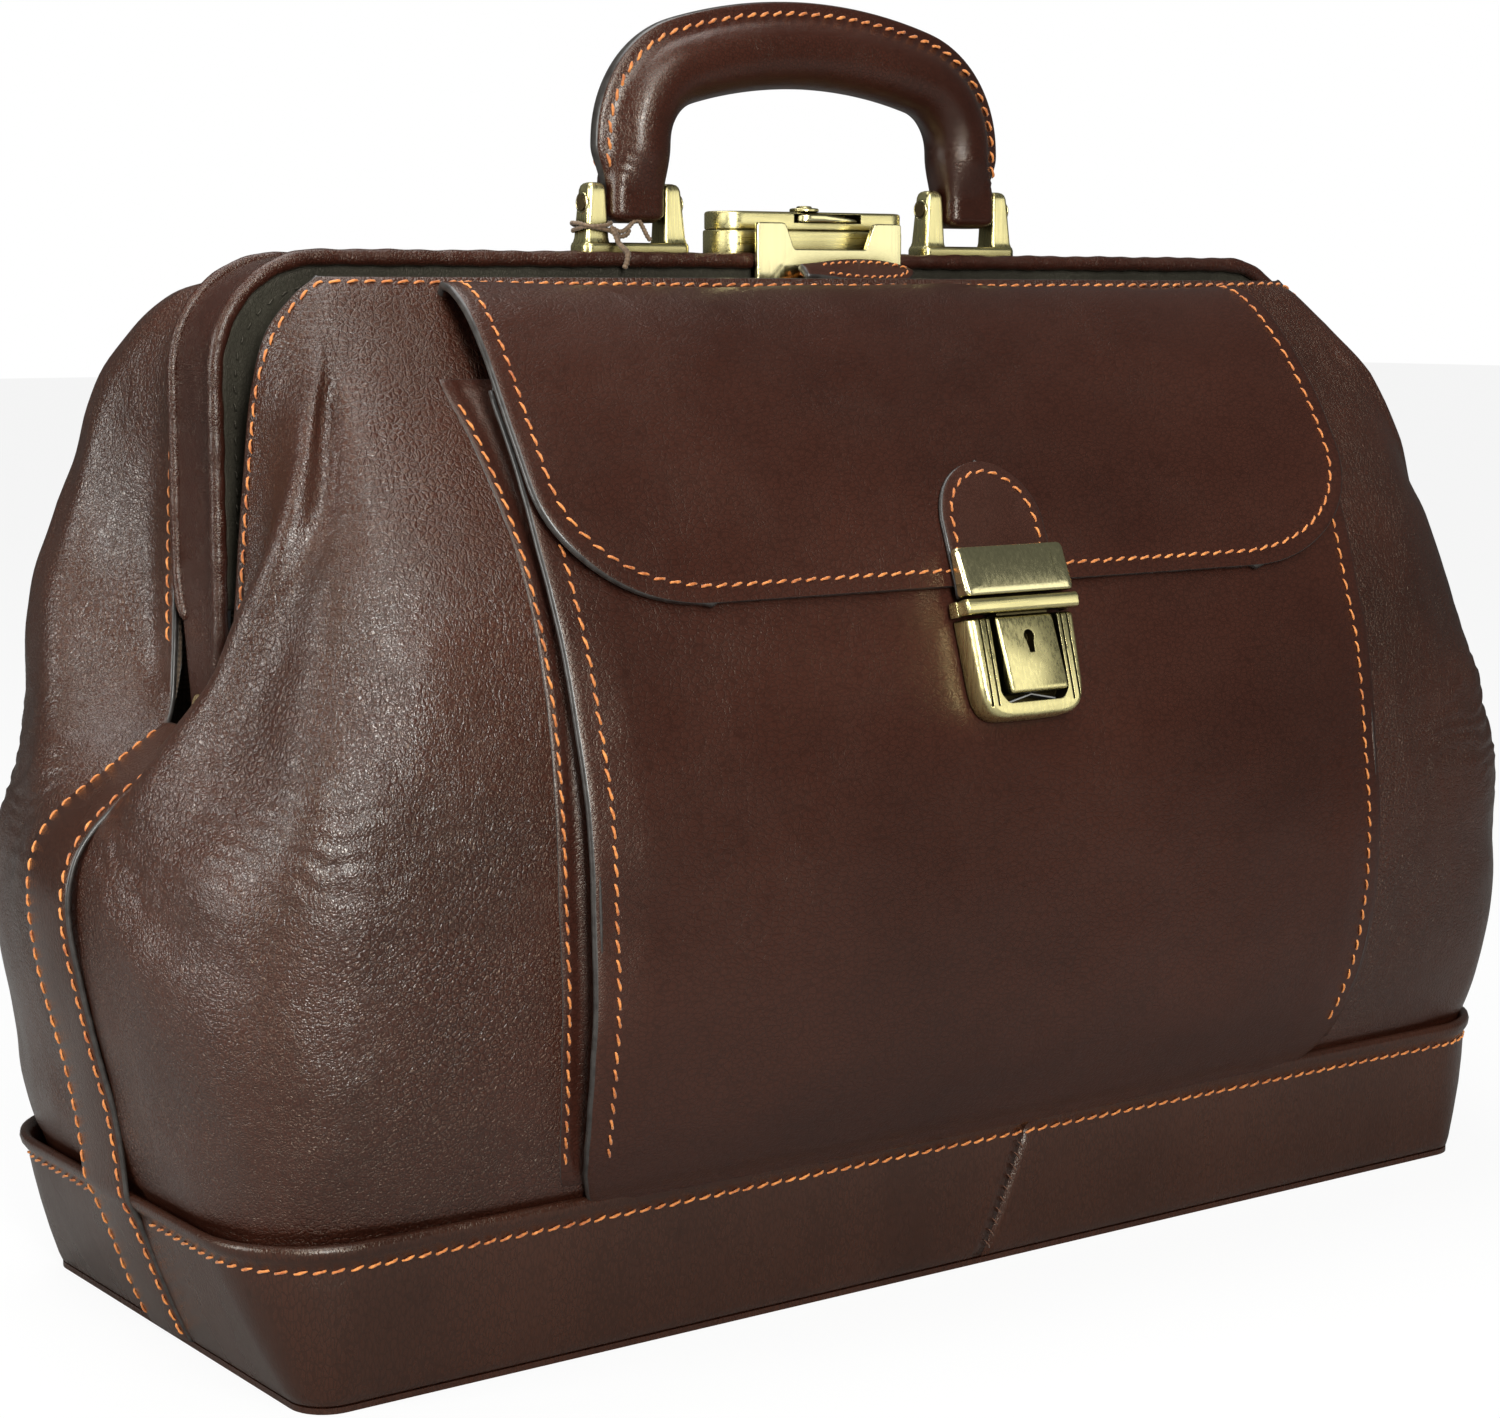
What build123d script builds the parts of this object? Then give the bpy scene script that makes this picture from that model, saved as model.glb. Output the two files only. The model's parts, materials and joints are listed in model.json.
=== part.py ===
from build123d import *
import math
import os

# A leather frame bag: a stiff base, a soft body in two halves, two hinged mouth
# frames, a front pocket whose flap has a press lock, a frame lock and a handle.
# Millimetres.  Origin: centre of the underside.  +X is the bag's right seen
# from the front, +Y its back, +Z up.  Each piece goes to its own STEP file.

os.makedirs("parts", exist_ok=True)

# -------------------------------------------------------- shared dimensions
BODY_LEATHER = 1.8
LINING = 1.0

HINGE_Z = 160.0
HINGE_RIVET_R = 2.5
FRAME_HALF_WIDTH = 184.5
FRAME_TOP = 271.5
FRAME_CORNER = 27.5
FRAME_STEEL = 2.5
FRAME_UNDERSIDE = FRAME_TOP - FRAME_STEEL
FRAME_FRONT_Y = -7.0
FRAME_REAR_Y = 12.0
COVER_LEATHER = 1.4
COVER_GAP = 0.1
DECK_Z = FRAME_TOP + COVER_GAP + COVER_LEATHER  # top of the covered rear frame

FRONT_FRAME_HALF_WIDTH = 174.0
FRONT_FRAME_TOP = 261.0
FRONT_FRAME_CORNER = 24.0
FRONT_FRAME_STEEL = 3.0
FRONT_FRAME_Y0 = -24.0
FRONT_FRAME_Y1 = -18.0

BRACKET_X = 58.0
BRACKET_Y = -1.0
BRACKET_SCREW_OFFSET = 12.5
HANDLE_PIVOT_Z = 288.0
HANDLE_PIN_R = 2.0
LOCK_X = 1.0
LOCK_Y = -0.4
LOCK_SCREW_OFFSET = 26.0
SCREW_R = 1.5
SCREW_HOLE_R = 1.53
SCREW_HEAD_R = 2.8
BRACKET_SCREWS = [(side * BRACKET_X + end * BRACKET_SCREW_OFFSET, BRACKET_Y)
                  for side in (-1, 1) for end in (-1, 1)]
LOCK_SCREWS = [(LOCK_X + end * LOCK_SCREW_OFFSET, LOCK_Y) for end in (-1, 1)]

HASP_RIVET_XS = (-18.0, 18.0)
HASP_RIVET_Y = (FRONT_FRAME_Y0 + FRONT_FRAME_Y1) / 2
HASP_RIVET_R = 1.5
HASP_RIVET_HOLE_R = 1.52


# ------------------------------------------------------------------ helpers
def write(name, *shapes):
    """Write one piece; several separate solids stay one group."""
    solids = [solid for shape in shapes for solid in shape.solids()]
    piece = solids[0] if len(solids) == 1 else Compound(children=solids)
    export_step(piece, "parts/" + name + ".step")


def mirror_x(shape):
    return mirror(shape, about=Plane.YZ)


def pull(face, x, y, z):
    return Solid.extrude(face, Vector(x, y, z))


def loop_wire(points):
    return Wire.make_polygon([Vector(*point) for point in points], close=True)


def flat(points):
    return Face(loop_wire(points))


def box(x0, x1, y0, y1, z0, z1):
    return Pos((x0 + x1) / 2, (y0 + y1) / 2, (z0 + z1) / 2) * Box(x1 - x0, y1 - y0, z1 - z0)


def rod_x(radius, x0, x1, y, z):
    return Pos((x0 + x1) / 2, y, z) * Rot(0, 90, 0) * Cylinder(radius, x1 - x0)


def rod_z(radius, x, y, z0, z1):
    return Pos(x, y, (z0 + z1) / 2) * Cylinder(radius, z1 - z0)


def hinge_rod(radius, x0, x1):
    """Rod on the axis of the frame hinges."""
    return rod_x(radius, x0, x1, 0, HINGE_Z)


def shift(points, distance):
    """Open 2-D polyline moved sideways by distance, to the left of travel."""
    normals = []
    for (ax, ay), (bx, by) in zip(points, points[1:]):
        length = math.hypot(bx - ax, by - ay)
        normals.append((-(by - ay) / length, (bx - ax) / length))
    moved = []
    for i, (x, y) in enumerate(points):
        stretch = 1.0
        if i == 0:
            nx, ny = normals[0]
        elif i == len(points) - 1:
            nx, ny = normals[-1]
        else:
            # mitre: along the bisector of the two neighbouring normals
            nx = normals[i - 1][0] + normals[i][0]
            ny = normals[i - 1][1] + normals[i][1]
            length = math.hypot(nx, ny)
            nx, ny = nx / length, ny / length
            stretch = 1.0 / (nx * normals[i][0] + ny * normals[i][1])
        moved.append((x + nx * distance * stretch, y + ny * distance * stretch))
    return moved


def sheet(profile, thick, half_width, lift=0.0):
    """Curved sheet: a (y, z) line from the bottom up, thickened towards +Y.

    lift first moves the line outwards, towards the front.
    """
    outer = shift(profile, lift)
    inner = shift(profile, lift - thick)
    loop = [(-half_width, y, z) for y, z in outer + inner[::-1]]
    return pull(flat(loop), 2 * half_width, 0, 0)


def front_window(half_width, z0, z1, radius, round_top):
    """Block that is a rectangle from the front, its top or bottom corners rounded."""
    face = make_face(Plane.XZ * Polyline((-half_width, z0), (half_width, z0),
                                         (half_width, z1), (-half_width, z1), close=True))
    corners = face.vertices().sort_by(Axis.Z)
    face = fillet(corners[-2:] if round_top else corners[:2], radius)
    return Pos(0, 10, 0) * extrude(face, 160)


# ---------------------------------------------------- base of stiff leather
BASE_LENGTH = 400.0
BASE_DEPTH = 152.0
BASE_CORNER = 10.0
BAND_TOP_LENGTH = 430.0
BAND_TOP_DEPTH = 160.0
BAND_TOP_CORNER = 30.0
BAND_HEIGHT = 41.5
BAND_LEATHER = 2.2
BOTTOM_LEATHER = 1.5
BAND_FOOT_Z = BOTTOM_LEATHER + 0.05
SEAM_FOOT_X = 5.4  # where the slanted seam planes meet z = 0
SEAM_SLOPE = 0.35  # x per unit of z
SEAM_HALF_GAP = 0.1
BOARD_THICKNESS = 3.0
BOARD_Z = BOTTOM_LEATHER + 0.1
BOARD_INSET = 7.0
BASE_LINING_Z = BOARD_Z + BOARD_THICKNESS + 0.2
BASE_LINING_INSET = 8.0
INNER_CORNER = 8.0


def base_loft(inset, z0, z1):
    """Tapered rounded box of the base band, inset all round."""
    def section(z):
        rise = (z - BOTTOM_LEATHER) / (BAND_HEIGHT - BOTTOM_LEATHER)
        length = BASE_LENGTH + (BAND_TOP_LENGTH - BASE_LENGTH) * rise - 2 * inset
        depth = BASE_DEPTH + (BAND_TOP_DEPTH - BASE_DEPTH) * rise - 2 * inset
        radius = BASE_CORNER + (BAND_TOP_CORNER - BASE_CORNER) * rise - inset
        return Pos(0, 0, z) * RectangleRounded(length, depth, radius)
    return loft([section(z0), section(z1)])


def base_slab(inset, radius, z, thick):
    outline = RectangleRounded(BASE_LENGTH - 2 * inset, BASE_DEPTH - 2 * inset, radius)
    return Pos(0, 0, z) * extrude(outline, thick)


# The band is two strips that meet in slanted butt seams, front and back.
band = (base_loft(0, BAND_FOOT_Z, BAND_HEIGHT)
        - base_loft(BAND_LEATHER, BAND_FOOT_Z - 1, BAND_HEIGHT + 1))
for name, side in (("left", -1), ("right", 1)):
    seam_x = SEAM_FOOT_X + side * SEAM_HALF_GAP
    half_space = flat([(side * 300, -200, -5), (seam_x - 5 * SEAM_SLOPE, -200, -5),
                       (seam_x + 60 * SEAM_SLOPE, -200, 60), (side * 300, -200, 60)])
    write("base_band_" + name, band & pull(half_space, 0, 400, 0))
write("base_bottom_leather", base_slab(0, BASE_CORNER, 0, BOTTOM_LEATHER))
write("base_board", base_slab(BOARD_INSET, INNER_CORNER, BOARD_Z, BOARD_THICKNESS))
write("base_lining", base_slab(BASE_LINING_INSET, INNER_CORNER, BASE_LINING_Z, LINING))

# ---------------------------------------------------- soft body and lining
LINING_OFFSET = BODY_LEATHER + 0.4
# Plan sections of one corner, as distances from x = 0 and from y = 0:
# z, seam point, ear ridge, shoulder of the corner, start of the flat face.
LEVELS = [
    (8.0, (199.8, 0.6), (199.8, 55.0), (194.0, 69.0), (182.0, 73.8)),
    (41.8, (212.2, 0.6), (212.2, 50.0), (204.0, 69.0), (184.0, 77.2)),
    (48.0, (215.4, 0.6), (215.4, 50.0), (206.0, 71.0), (185.0, 80.4)),
    (65.0, (218.4, 0.6), (218.4, 50.0), (208.5, 74.0), (186.0, 84.2)),
    (100.0, (226.4, 0.6), (225.0, 48.0), (211.5, 76.5), (187.0, 88.0)),
    (120.0, (227.8, 0.6), (225.0, 44.0), (212.0, 77.0), (187.0, 88.0)),
    (136.0, (216.5, 0.6), (217.0, 32.0), (209.0, 74.0), (185.0, 87.0)),
    (143.0, (206.5, 2.0), (214.0, 30.0), (207.0, 72.0), (184.0, 86.3)),
    (150.0, (197.5, 7.0), (210.5, 32.0), (204.0, 70.0), (183.0, 85.6)),
    (160.0, (188.8, 13.5), (206.0, 35.0), (200.5, 67.0), (181.0, 83.6)),
    (171.0, (186.8, 15.5), (201.0, 38.0), (197.0, 64.0), (178.0, 81.4)),
    (187.0, (185.6, 17.0), (195.0, 42.0), (192.5, 60.0), (175.0, 76.8)),
    (202.0, (185.0, 18.0), (188.0, 45.0), (187.0, 56.0), (171.0, 71.0)),
    (220.0, (184.0, 19.5), (182.5, 43.0), (180.0, 50.0), (166.0, 60.5)),
    (240.0, (182.5, 21.0), (176.0, 38.0), (172.0, 42.0), (160.0, 46.6)),
    (255.0, (179.0, 23.0), (170.5, 31.0), (166.0, 33.5), (156.0, 36.6)),
    (268.0, (166.0, 24.5), (160.0, 26.0), (154.0, 27.0), (146.0, 28.0)),
]
# The rear half is fuller in its upper part, behind the frame.
REAR_LEVELS = LEVELS[:6] + [
    (136.0, (216.5, 0.6), (219.0, 31.0), (210.0, 74.0), (184.0, 87.4)),
    (143.0, (206.5, 2.0), (216.5, 30.0), (209.5, 73.0), (183.0, 86.8)),
    (150.0, (197.5, 7.0), (214.5, 32.0), (208.5, 72.0), (182.0, 86.2)),
    (160.0, (188.8, 13.5), (210.5, 37.0), (206.5, 71.0), (180.0, 85.2)),
    (171.0, (186.8, 17.2), (207.0, 44.0), (205.0, 69.0), (178.0, 83.4)),
    (187.0, (185.6, 17.6), (203.5, 51.0), (202.5, 70.0), (176.0, 80.0)),
    (202.0, (185.0, 17.8), (198.5, 54.0), (197.0, 69.0), (173.0, 75.2)),
    (220.0, (184.0, 18.0), (191.5, 54.0), (190.5, 65.5), (168.0, 68.2)),
    (240.0, (182.5, 18.4), (187.0, 51.0), (184.5, 63.0), (164.0, 62.0)),
    (255.0, (179.0, 19.0), (181.5, 42.5), (178.0, 52.0), (160.0, 51.2)),
    (268.0, (166.0, 19.5), (166.0, 29.0), (160.0, 31.0), (148.0, 30.2)),
]


def front_y(z):
    """Y of the body's flat front at height z."""
    for low, high in zip(LEVELS, LEVELS[1:]):
        z0, y0, z1, y1 = low[0], low[4][1], high[0], high[4][1]
        if z0 <= z <= z1:
            return -(y0 + (y1 - y0) * (z - z0) / (z1 - z0))


def plan_sections(levels, y_sign, offset, overrun):
    """(z, points) per level, offset inwards; overrun carries the ends past the seam."""
    sections = []
    for z, *corner in levels:
        chain = [(-x, -y) for x, y in corner]
        chain += [(-x, y) for x, y in reversed(chain)]
        moved = shift(chain, offset)
        if overrun:
            first, last = [(x, y + overrun) for x, y in (moved[0], moved[-1])]
            moved = [first] + moved + [last]
        sections.append((z, [(x, y * y_sign) for x, y in moved]))
    return sections


def ruled_solid(sections):
    return Solid.make_loft([loop_wire([(x, y, z) for x, y in points])
                            for z, points in sections], ruled=True)


def half_shell(levels, y_sign, offset, thick):
    """Open half shell; y_sign is 1 for the front half and -1 for the rear half."""
    body = plan_sections(levels, y_sign, offset, 0.0)
    core = plan_sections(levels, y_sign, offset + thick, 6.0)
    low = (core[0][0] - 1.0, core[0][1])
    high = (core[-1][0] + 1.0, core[-1][1])
    return ruled_solid(body) - ruled_solid([low] + core[1:-1] + [high])


# The lining stops one level below the mouth.
for name, levels, y_sign in (("front", LEVELS, 1), ("rear", REAR_LEVELS, -1)):
    write(name + "_body_leather", half_shell(levels, y_sign, 0.0, BODY_LEATHER))
    write(name + "_lining", half_shell(levels[:-1], y_sign, LINING_OFFSET, LINING))

# -------------------------------------------------------- side seam strips
STRIP_WIDTH = 25.0
STRIP_LEATHER = 1.8
# (x, z): up the left side over the seam, over the shoulder, in to the hinge.
STRIP_PATH = [
    (-200.6, 1.7), (-215.1, 41.0), (-219.2, 65.0), (-227.3, 100.0), (-228.7, 121.0),
    (-224.2, 132.0), (-218.2, 138.2), (-211.4, 143.6), (-203.6, 150.0), (-192.0, 158.4),
]
strip_outline = STRIP_PATH + shift(STRIP_PATH, STRIP_LEATHER)[::-1]
strip = pull(flat([(x, -STRIP_WIDTH / 2, z) for x, z in strip_outline]), 0, STRIP_WIDTH, 0)
write("side_strip_left", strip)
write("side_strip_right", mirror_x(strip))


# ------------------------------------------------------------- rear frame
def arch(half, top, radius, bottom, y0, y1):
    """Solid block under an arch with rounded upper corners."""
    inset = radius * (1 - math.sqrt(0.5))
    edges = [
        Edge.make_line((-half, y0, bottom), (-half, y0, top - radius)),
        Edge.make_three_point_arc((-half, y0, top - radius), (-half + inset, y0, top - inset),
                                  (-half + radius, y0, top)),
        Edge.make_line((-half + radius, y0, top), (half - radius, y0, top)),
        Edge.make_three_point_arc((half - radius, y0, top), (half - inset, y0, top - inset),
                                  (half, y0, top - radius)),
        Edge.make_line((half, y0, top - radius), (half, y0, bottom)),
        Edge.make_line((half, y0, bottom), (-half, y0, bottom)),
    ]
    return pull(Face(Wire(edges)), 0, y1 - y0, 0)


def arch_strip(half, top, radius, thick, bottom, y0, y1):
    return (arch(half, top, radius, bottom, y0, y1)
            - arch(half - thick, top - thick, radius - thick, bottom - 1, y0 - 1, y1 + 1))


def leg_mask(front, rear, tip):
    """Side outline of a frame leg: parallel, then rounded at the hinge."""
    profile = flat([(-200, front, 300), (-200, rear, 300), (-200, rear, 192),
                    (-200, tip, HINGE_Z), (-200, -tip, HINGE_Z), (-200, front, 176)])
    return pull(profile, 400, 0, 0) + hinge_rod(tip, -200, 200)


EAR_R = 7.5  # rounded end of the frame legs at the hinge
COVER_EAR_R = 8.5
COVER_HOLE_R = 4.8
LEG_BOTTOM_Z = HINGE_Z - 12
COVER_Y0 = FRAME_FRONT_Y - 1
COVER_Y1 = FRAME_REAR_Y + 1
COVER_HALF_WIDTH = FRAME_HALF_WIDTH + COVER_GAP + COVER_LEATHER
COVER_CORNER = FRAME_CORNER + COVER_GAP + COVER_LEATHER
PIPING_R = 1.5
PIPING_GAP = 0.2

rear_frame = arch_strip(FRAME_HALF_WIDTH, FRAME_TOP, FRAME_CORNER, FRAME_STEEL, LEG_BOTTOM_Z,
                        FRAME_FRONT_Y, FRAME_REAR_Y)
rear_frame = rear_frame & leg_mask(FRAME_FRONT_Y, FRAME_REAR_Y, EAR_R)
cover = arch_strip(COVER_HALF_WIDTH, DECK_Z, COVER_CORNER, COVER_LEATHER, LEG_BOTTOM_Z,
                   COVER_Y0, COVER_Y1)
cover = cover & leg_mask(COVER_Y0, COVER_Y1, COVER_EAR_R)
for x0, x1 in ((-190.0, -180.0), (180.0, 190.0)):
    rear_frame = rear_frame - hinge_rod(HINGE_RIVET_R + 0.05, x0, x1)
    cover = cover - hinge_rod(COVER_HOLE_R, x0, x1)
for x, y in BRACKET_SCREWS + LOCK_SCREWS:
    screw_hole = rod_z(SCREW_HOLE_R, x, y, 260, 274)
    rear_frame = rear_frame - screw_hole
    cover = cover - screw_hole
write("rear_frame", rear_frame)
write("frame_leather_cover", cover)


def piping(y, bottom):
    """Round cord along one edge of the frame cover."""
    edge = COVER_HALF_WIDTH
    path = FilletPolyline((-edge, y, bottom), (-edge, y, DECK_Z), (edge, y, DECK_Z),
                          (edge, y, bottom), radius=COVER_CORNER)
    return sweep(Plane(origin=path @ 0, z_dir=path % 0) * Circle(PIPING_R), path=path)


write("frame_piping_front", piping(COVER_Y0 - PIPING_R - PIPING_GAP, 178.0))
write("frame_piping_rear", piping(COVER_Y1 + PIPING_R + PIPING_GAP, 192.0))

# ------------------------------------------------------------- front frame
FRONT_LEG_BOTTOM_Z = 190.0
BINDING_OFFSET = 1.7
BINDING_THICK = 1.5
EAR_INNER_X = FRONT_FRAME_HALF_WIDTH - FRONT_FRAME_STEEL
# (y, z) outline of the ear that brings a front leg back to the hinge
EAR_OUTLINE = [
    (FRONT_FRAME_Y0, 206), (FRONT_FRAME_Y1, 206), (6.0, HINGE_Z + 4), (0.0, HINGE_Z - EAR_R),
    (-7.0, HINGE_Z - 2), (FRONT_FRAME_Y0, FRONT_LEG_BOTTOM_Z),
]
front_frame = arch_strip(FRONT_FRAME_HALF_WIDTH, FRONT_FRAME_TOP, FRONT_FRAME_CORNER,
                         FRONT_FRAME_STEEL, FRONT_LEG_BOTTOM_Z, FRONT_FRAME_Y0, FRONT_FRAME_Y1)
ear = pull(flat([(-FRONT_FRAME_HALF_WIDTH, y, z) for y, z in EAR_OUTLINE]),
           FRONT_FRAME_STEEL, 0, 0)
ear = ear + hinge_rod(EAR_R, -FRONT_FRAME_HALF_WIDTH, -EAR_INNER_X)
ear = ear - hinge_rod(HINGE_RIVET_R + 0.03, -FRONT_FRAME_HALF_WIDTH - 1, -EAR_INNER_X + 1)
front_frame = front_frame + ear + mirror_x(ear)
binding = arch_strip(FRONT_FRAME_HALF_WIDTH + BINDING_OFFSET, FRONT_FRAME_TOP + BINDING_OFFSET,
                     FRONT_FRAME_CORNER + BINDING_OFFSET, BINDING_THICK, 196.0,
                     FRONT_FRAME_Y0, FRONT_FRAME_Y1 + 0.5)
for x in HASP_RIVET_XS:
    rivet_hole = rod_z(HASP_RIVET_HOLE_R, x, HASP_RIVET_Y, 255, 270)
    front_frame = front_frame - rivet_hole
    binding = binding - rivet_hole
write("front_frame", front_frame)
write("front_frame_binding", binding)

# ------------------------------------------------------------------ hinges
HINGE_HEAD_R = 4.2
SPACER_R = 5.5
hinge_rivet = (hinge_rod(HINGE_RIVET_R, -187.4, -169.6)
               + hinge_rod(HINGE_HEAD_R, -188.0, -184.8)
               + hinge_rod(HINGE_HEAD_R, -170.9, -169.6))
write("hinge_rivets", hinge_rivet, mirror_x(hinge_rivet))
spacer = (hinge_rod(SPACER_R, -181.9, -FRONT_FRAME_HALF_WIDTH - 0.1)
          - hinge_rod(HINGE_RIVET_R + 0.03, -183, -170))
write("hinge_spacers", spacer, mirror_x(spacer))

# -------------------------------------------------- press lock on the pocket
# Lock frame: x along the bag, y up the sloping front, z outwards.
LOCK_SLOPE = math.radians(15.7)
LOCK_PLANE = Plane(origin=(0, -92.9, 172.0), x_dir=(1, 0, 0),
                   z_dir=(0, -math.cos(LOCK_SLOPE), math.sin(LOCK_SLOPE)))
PRONG_XS = (-15.0, 15.0)
PRONG_Y = -10
PRONG_R = 1.0
PRONG_HOLE_R = 1.02
PRONG_HEAD_R = 1.9
CAM_Y = 0.9
CAM_R = 3.9
CAM_ROOM_R = 4.2
BACKPLATE_Z = -4.2  # outer face of the backplate
# (x, y) outlines
CASE_OUTLINE = [(-18, 8), (18, 8), (17.4, -14), (14.0, -19.0), (-14.0, -19.0), (-17.4, -14)]
SPRING_OUTLINE = [(-8, -15.0), (0, -13.3), (8, -15.0), (8, -14.6), (0, -12.95), (-8, -14.6)]
# (y, z) profiles
SLIDER_PROFILE = [(-12.8, 2.3), (-12.8, 9.4), (7.4, 7.4), (7.4, 2.3)]
LOCK_HASP_PROFILE = [(13.2, 4.1), (13.2, 8.2), (17, 8.0), (22, 7.2), (26.5, 6.0), (26.5, 4.1)]


def on_lock(x0, x1, y0, y1, z0, z1):
    return LOCK_PLANE * box(x0, x1, y0, y1, z0, z1)


def lock_rod(radius, x, y, z0, z1):
    return LOCK_PLANE * rod_z(radius, x, y, z0, z1)


def lock_block(outline, z0, z1):
    face = make_face(Polyline(*outline, close=True))
    return LOCK_PLANE * Pos(0, 0, z0) * extrude(face, z1 - z0)


def lock_bar(profile, half_width):
    face = make_face(Plane.YZ * Polyline(*profile, close=True))
    return LOCK_PLANE * extrude(face, half_width, both=True)


def cut_prong_holes(shape):
    for x in PRONG_XS:
        shape = shape - lock_rod(PRONG_HOLE_R, x, PRONG_Y, -6, 6)
    return shape


# Case: a wide channel for the slider between two shallow side grooves.
case = lock_block(CASE_OUTLINE, 0.3, 7.0)
case = case - on_lock(-11.6, 11.6, -15.2, 20, 2.0, 9)
case = case - on_lock(-15.5, -12.6, -16, 20, 6.2, 9) - on_lock(12.6, 15.5, -16, 20, 6.2, 9)
write("press_lock_case", cut_prong_holes(case))

keyhole = lock_rod(1.75, 0, 1.8, -20, 20) + on_lock(-0.8, 0.8, -3.1, 1.3, -20, 20)
cam_room = lock_rod(CAM_ROOM_R, 0, CAM_Y, 1.6, 5.8)
write("press_lock_slider", lock_bar(SLIDER_PROFILE, 9.6) - keyhole - cam_room)

cam_slot = on_lock(-0.7, 0.7, CAM_Y - 2.6, CAM_Y + 2.6, 3.5, 6.5)
write("press_lock_cam", lock_rod(CAM_R, 0, CAM_Y, 2.6, 5.2) - cam_slot)
write("press_lock_spring", lock_block(SPRING_OUTLINE, 2.6, 5.0))

backplate = on_lock(-18, 18, -17, 7, BACKPLATE_Z - 1.0, BACKPLATE_Z)
write("press_lock_backplate", cut_prong_holes(backplate))
write("press_lock_rivets", *[
    lock_rod(PRONG_R, x, PRONG_Y, BACKPLATE_Z - 1.9, 3.0)
    + lock_rod(PRONG_HEAD_R, x, PRONG_Y, BACKPLATE_Z - 1.85, BACKPLATE_Z - 1.05)
    for x in PRONG_XS])

write("press_lock_hasp", lock_bar(LOCK_HASP_PROFILE, 18.25))
collar = on_lock(-19, 19, 8.5, 12.7, 0.6, 8.6) - on_lock(-17.6, 17.6, 8.0, 13.2, 0.0, 2.4)
write("press_lock_collar", collar + on_lock(-9, 9, 12.6, 17.0, 3.0, 4.0))
write("press_lock_tongue", on_lock(-8.6, 8.6, 7.8, 8.45, 2.6, 6.6))

# ------------------------------------------------------------ front pocket
POCKET_HALF_WIDTH = 133.0
POCKET_LEATHER = 2.0
GUSSET_X = POCKET_HALF_WIDTH - 3.0
GUSSET_LEATHER = 1.2
# (y, z) of the pocket's outer face, bottom to top
POCKET_PROFILE = [
    (-81.6, 42.8), (-86.8, 49.0), (-92.6, 58.0), (-97.2, 70.0), (-100.2, 86.0),
    (-101.2, 108.0), (-100.6, 126.0), (-98.2, 145.0), (-92.9, 168.5), (-85.4, 191.5),
    (-79.2, 206.0), (-70.2, 224.0), (-58.5, 241.0),
]
# (x, z) seen from the front; the sides draw in a little towards the base band
POCKET_OUTLINE = [
    (-127, 40), (127, 40), (131.5, 62), (POCKET_HALF_WIDTH, 85), (POCKET_HALF_WIDTH, 245),
    (-POCKET_HALF_WIDTH, 245), (-POCKET_HALF_WIDTH, 85), (-131.5, 62),
]
pocket = sheet(POCKET_PROFILE, POCKET_LEATHER, POCKET_HALF_WIDTH)
pocket = pocket & pull(flat([(x, -200, z) for x, z in POCKET_OUTLINE]), 0, 200, 0)
write("pocket_front_leather", cut_prong_holes(pocket))

# Each gusset fills the gap between the pocket front and the body.
pocket_line = [(y, z) for y, z in shift(POCKET_PROFILE, -(POCKET_LEATHER + 0.3)) if 47 < z < 236]
body_line = [(front_y(z) - 1.0, z) for _, z in pocket_line]
gusset = pull(flat([(GUSSET_X, y, z) for y, z in pocket_line + body_line[::-1]]),
              GUSSET_LEATHER, 0, 0)
write("pocket_gusset_right", gusset)
write("pocket_gusset_left", mirror_x(gusset))

# ---------------------------------------------------- flap over the pocket
FLAP_HALF_WIDTH = 136.5
FLAP_LEATHER = 2.2
FLAP_CORNER = 38.0
ROLL_R = 1.9
ROLL_Y = -33.5
ROLL_Z = 264.2
LEAF_HALF_WIDTH = 123.0  # leaf behind the pocket, between the two gussets
LEAF_LEATHER = 1.6
LEAF_HEIGHTS = (222.0, 232.0, 240.0, 248.0, 255.0, 260.0)
TAB_HALF_WIDTH = 16.5
TAB_LEATHER = 1.4
# (y, z) profiles, bottom to top
FLAP_PROFILE = [
    (-88.9, 189.0), (-83.4, 203.0), (-80.2, 210.5), (-74.7, 222.0),
    (-66.0, 236.5), (-56.0, 250.5), (-45.5, 261.2), (-34.4, 266.0),
]
TAB_PROFILE = [(-88.2, 190.8)] + FLAP_PROFILE[1:4]

flap = sheet(FLAP_PROFILE, FLAP_LEATHER, FLAP_HALF_WIDTH)
flap = flap + rod_x(ROLL_R, -FLAP_HALF_WIDTH, FLAP_HALF_WIDTH, ROLL_Y, ROLL_Z)
flap = flap & front_window(FLAP_HALF_WIDTH, 180, 275, FLAP_CORNER, round_top=False)
write("flap_leather", flap)

leaf_line = [(front_y(z) - 0.4, z) for z in LEAF_HEIGHTS]
write("flap_back_leaf", sheet(leaf_line, LEAF_LEATHER, LEAF_HALF_WIDTH, lift=1.7))

# Tab on the outside of the flap, above the lock.
tab = sheet(TAB_PROFILE, TAB_LEATHER, TAB_HALF_WIDTH, lift=1.6)
write("flap_lock_tab", tab & front_window(TAB_HALF_WIDTH, 186, 218, 15.5, round_top=True))

# --------------------------------------------------------- handle brackets
BRACKET_LENGTH = 34.2
BRACKET_DEPTH = 9.6
BRACKET_PLATE = 4.6
BRACKET_GAP = 17.8  # between the two posts
BRACKET_TOP = 293.5
POST_FOOT_LENGTH = 7.2
POST_FOOT_HALF_DEPTH = 3.7
POST_TOP_LENGTH = 5.5
POST_TOP_HALF_DEPTH = 2.9
PIN_REACH = BRACKET_GAP / 2 + 6.9


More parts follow.
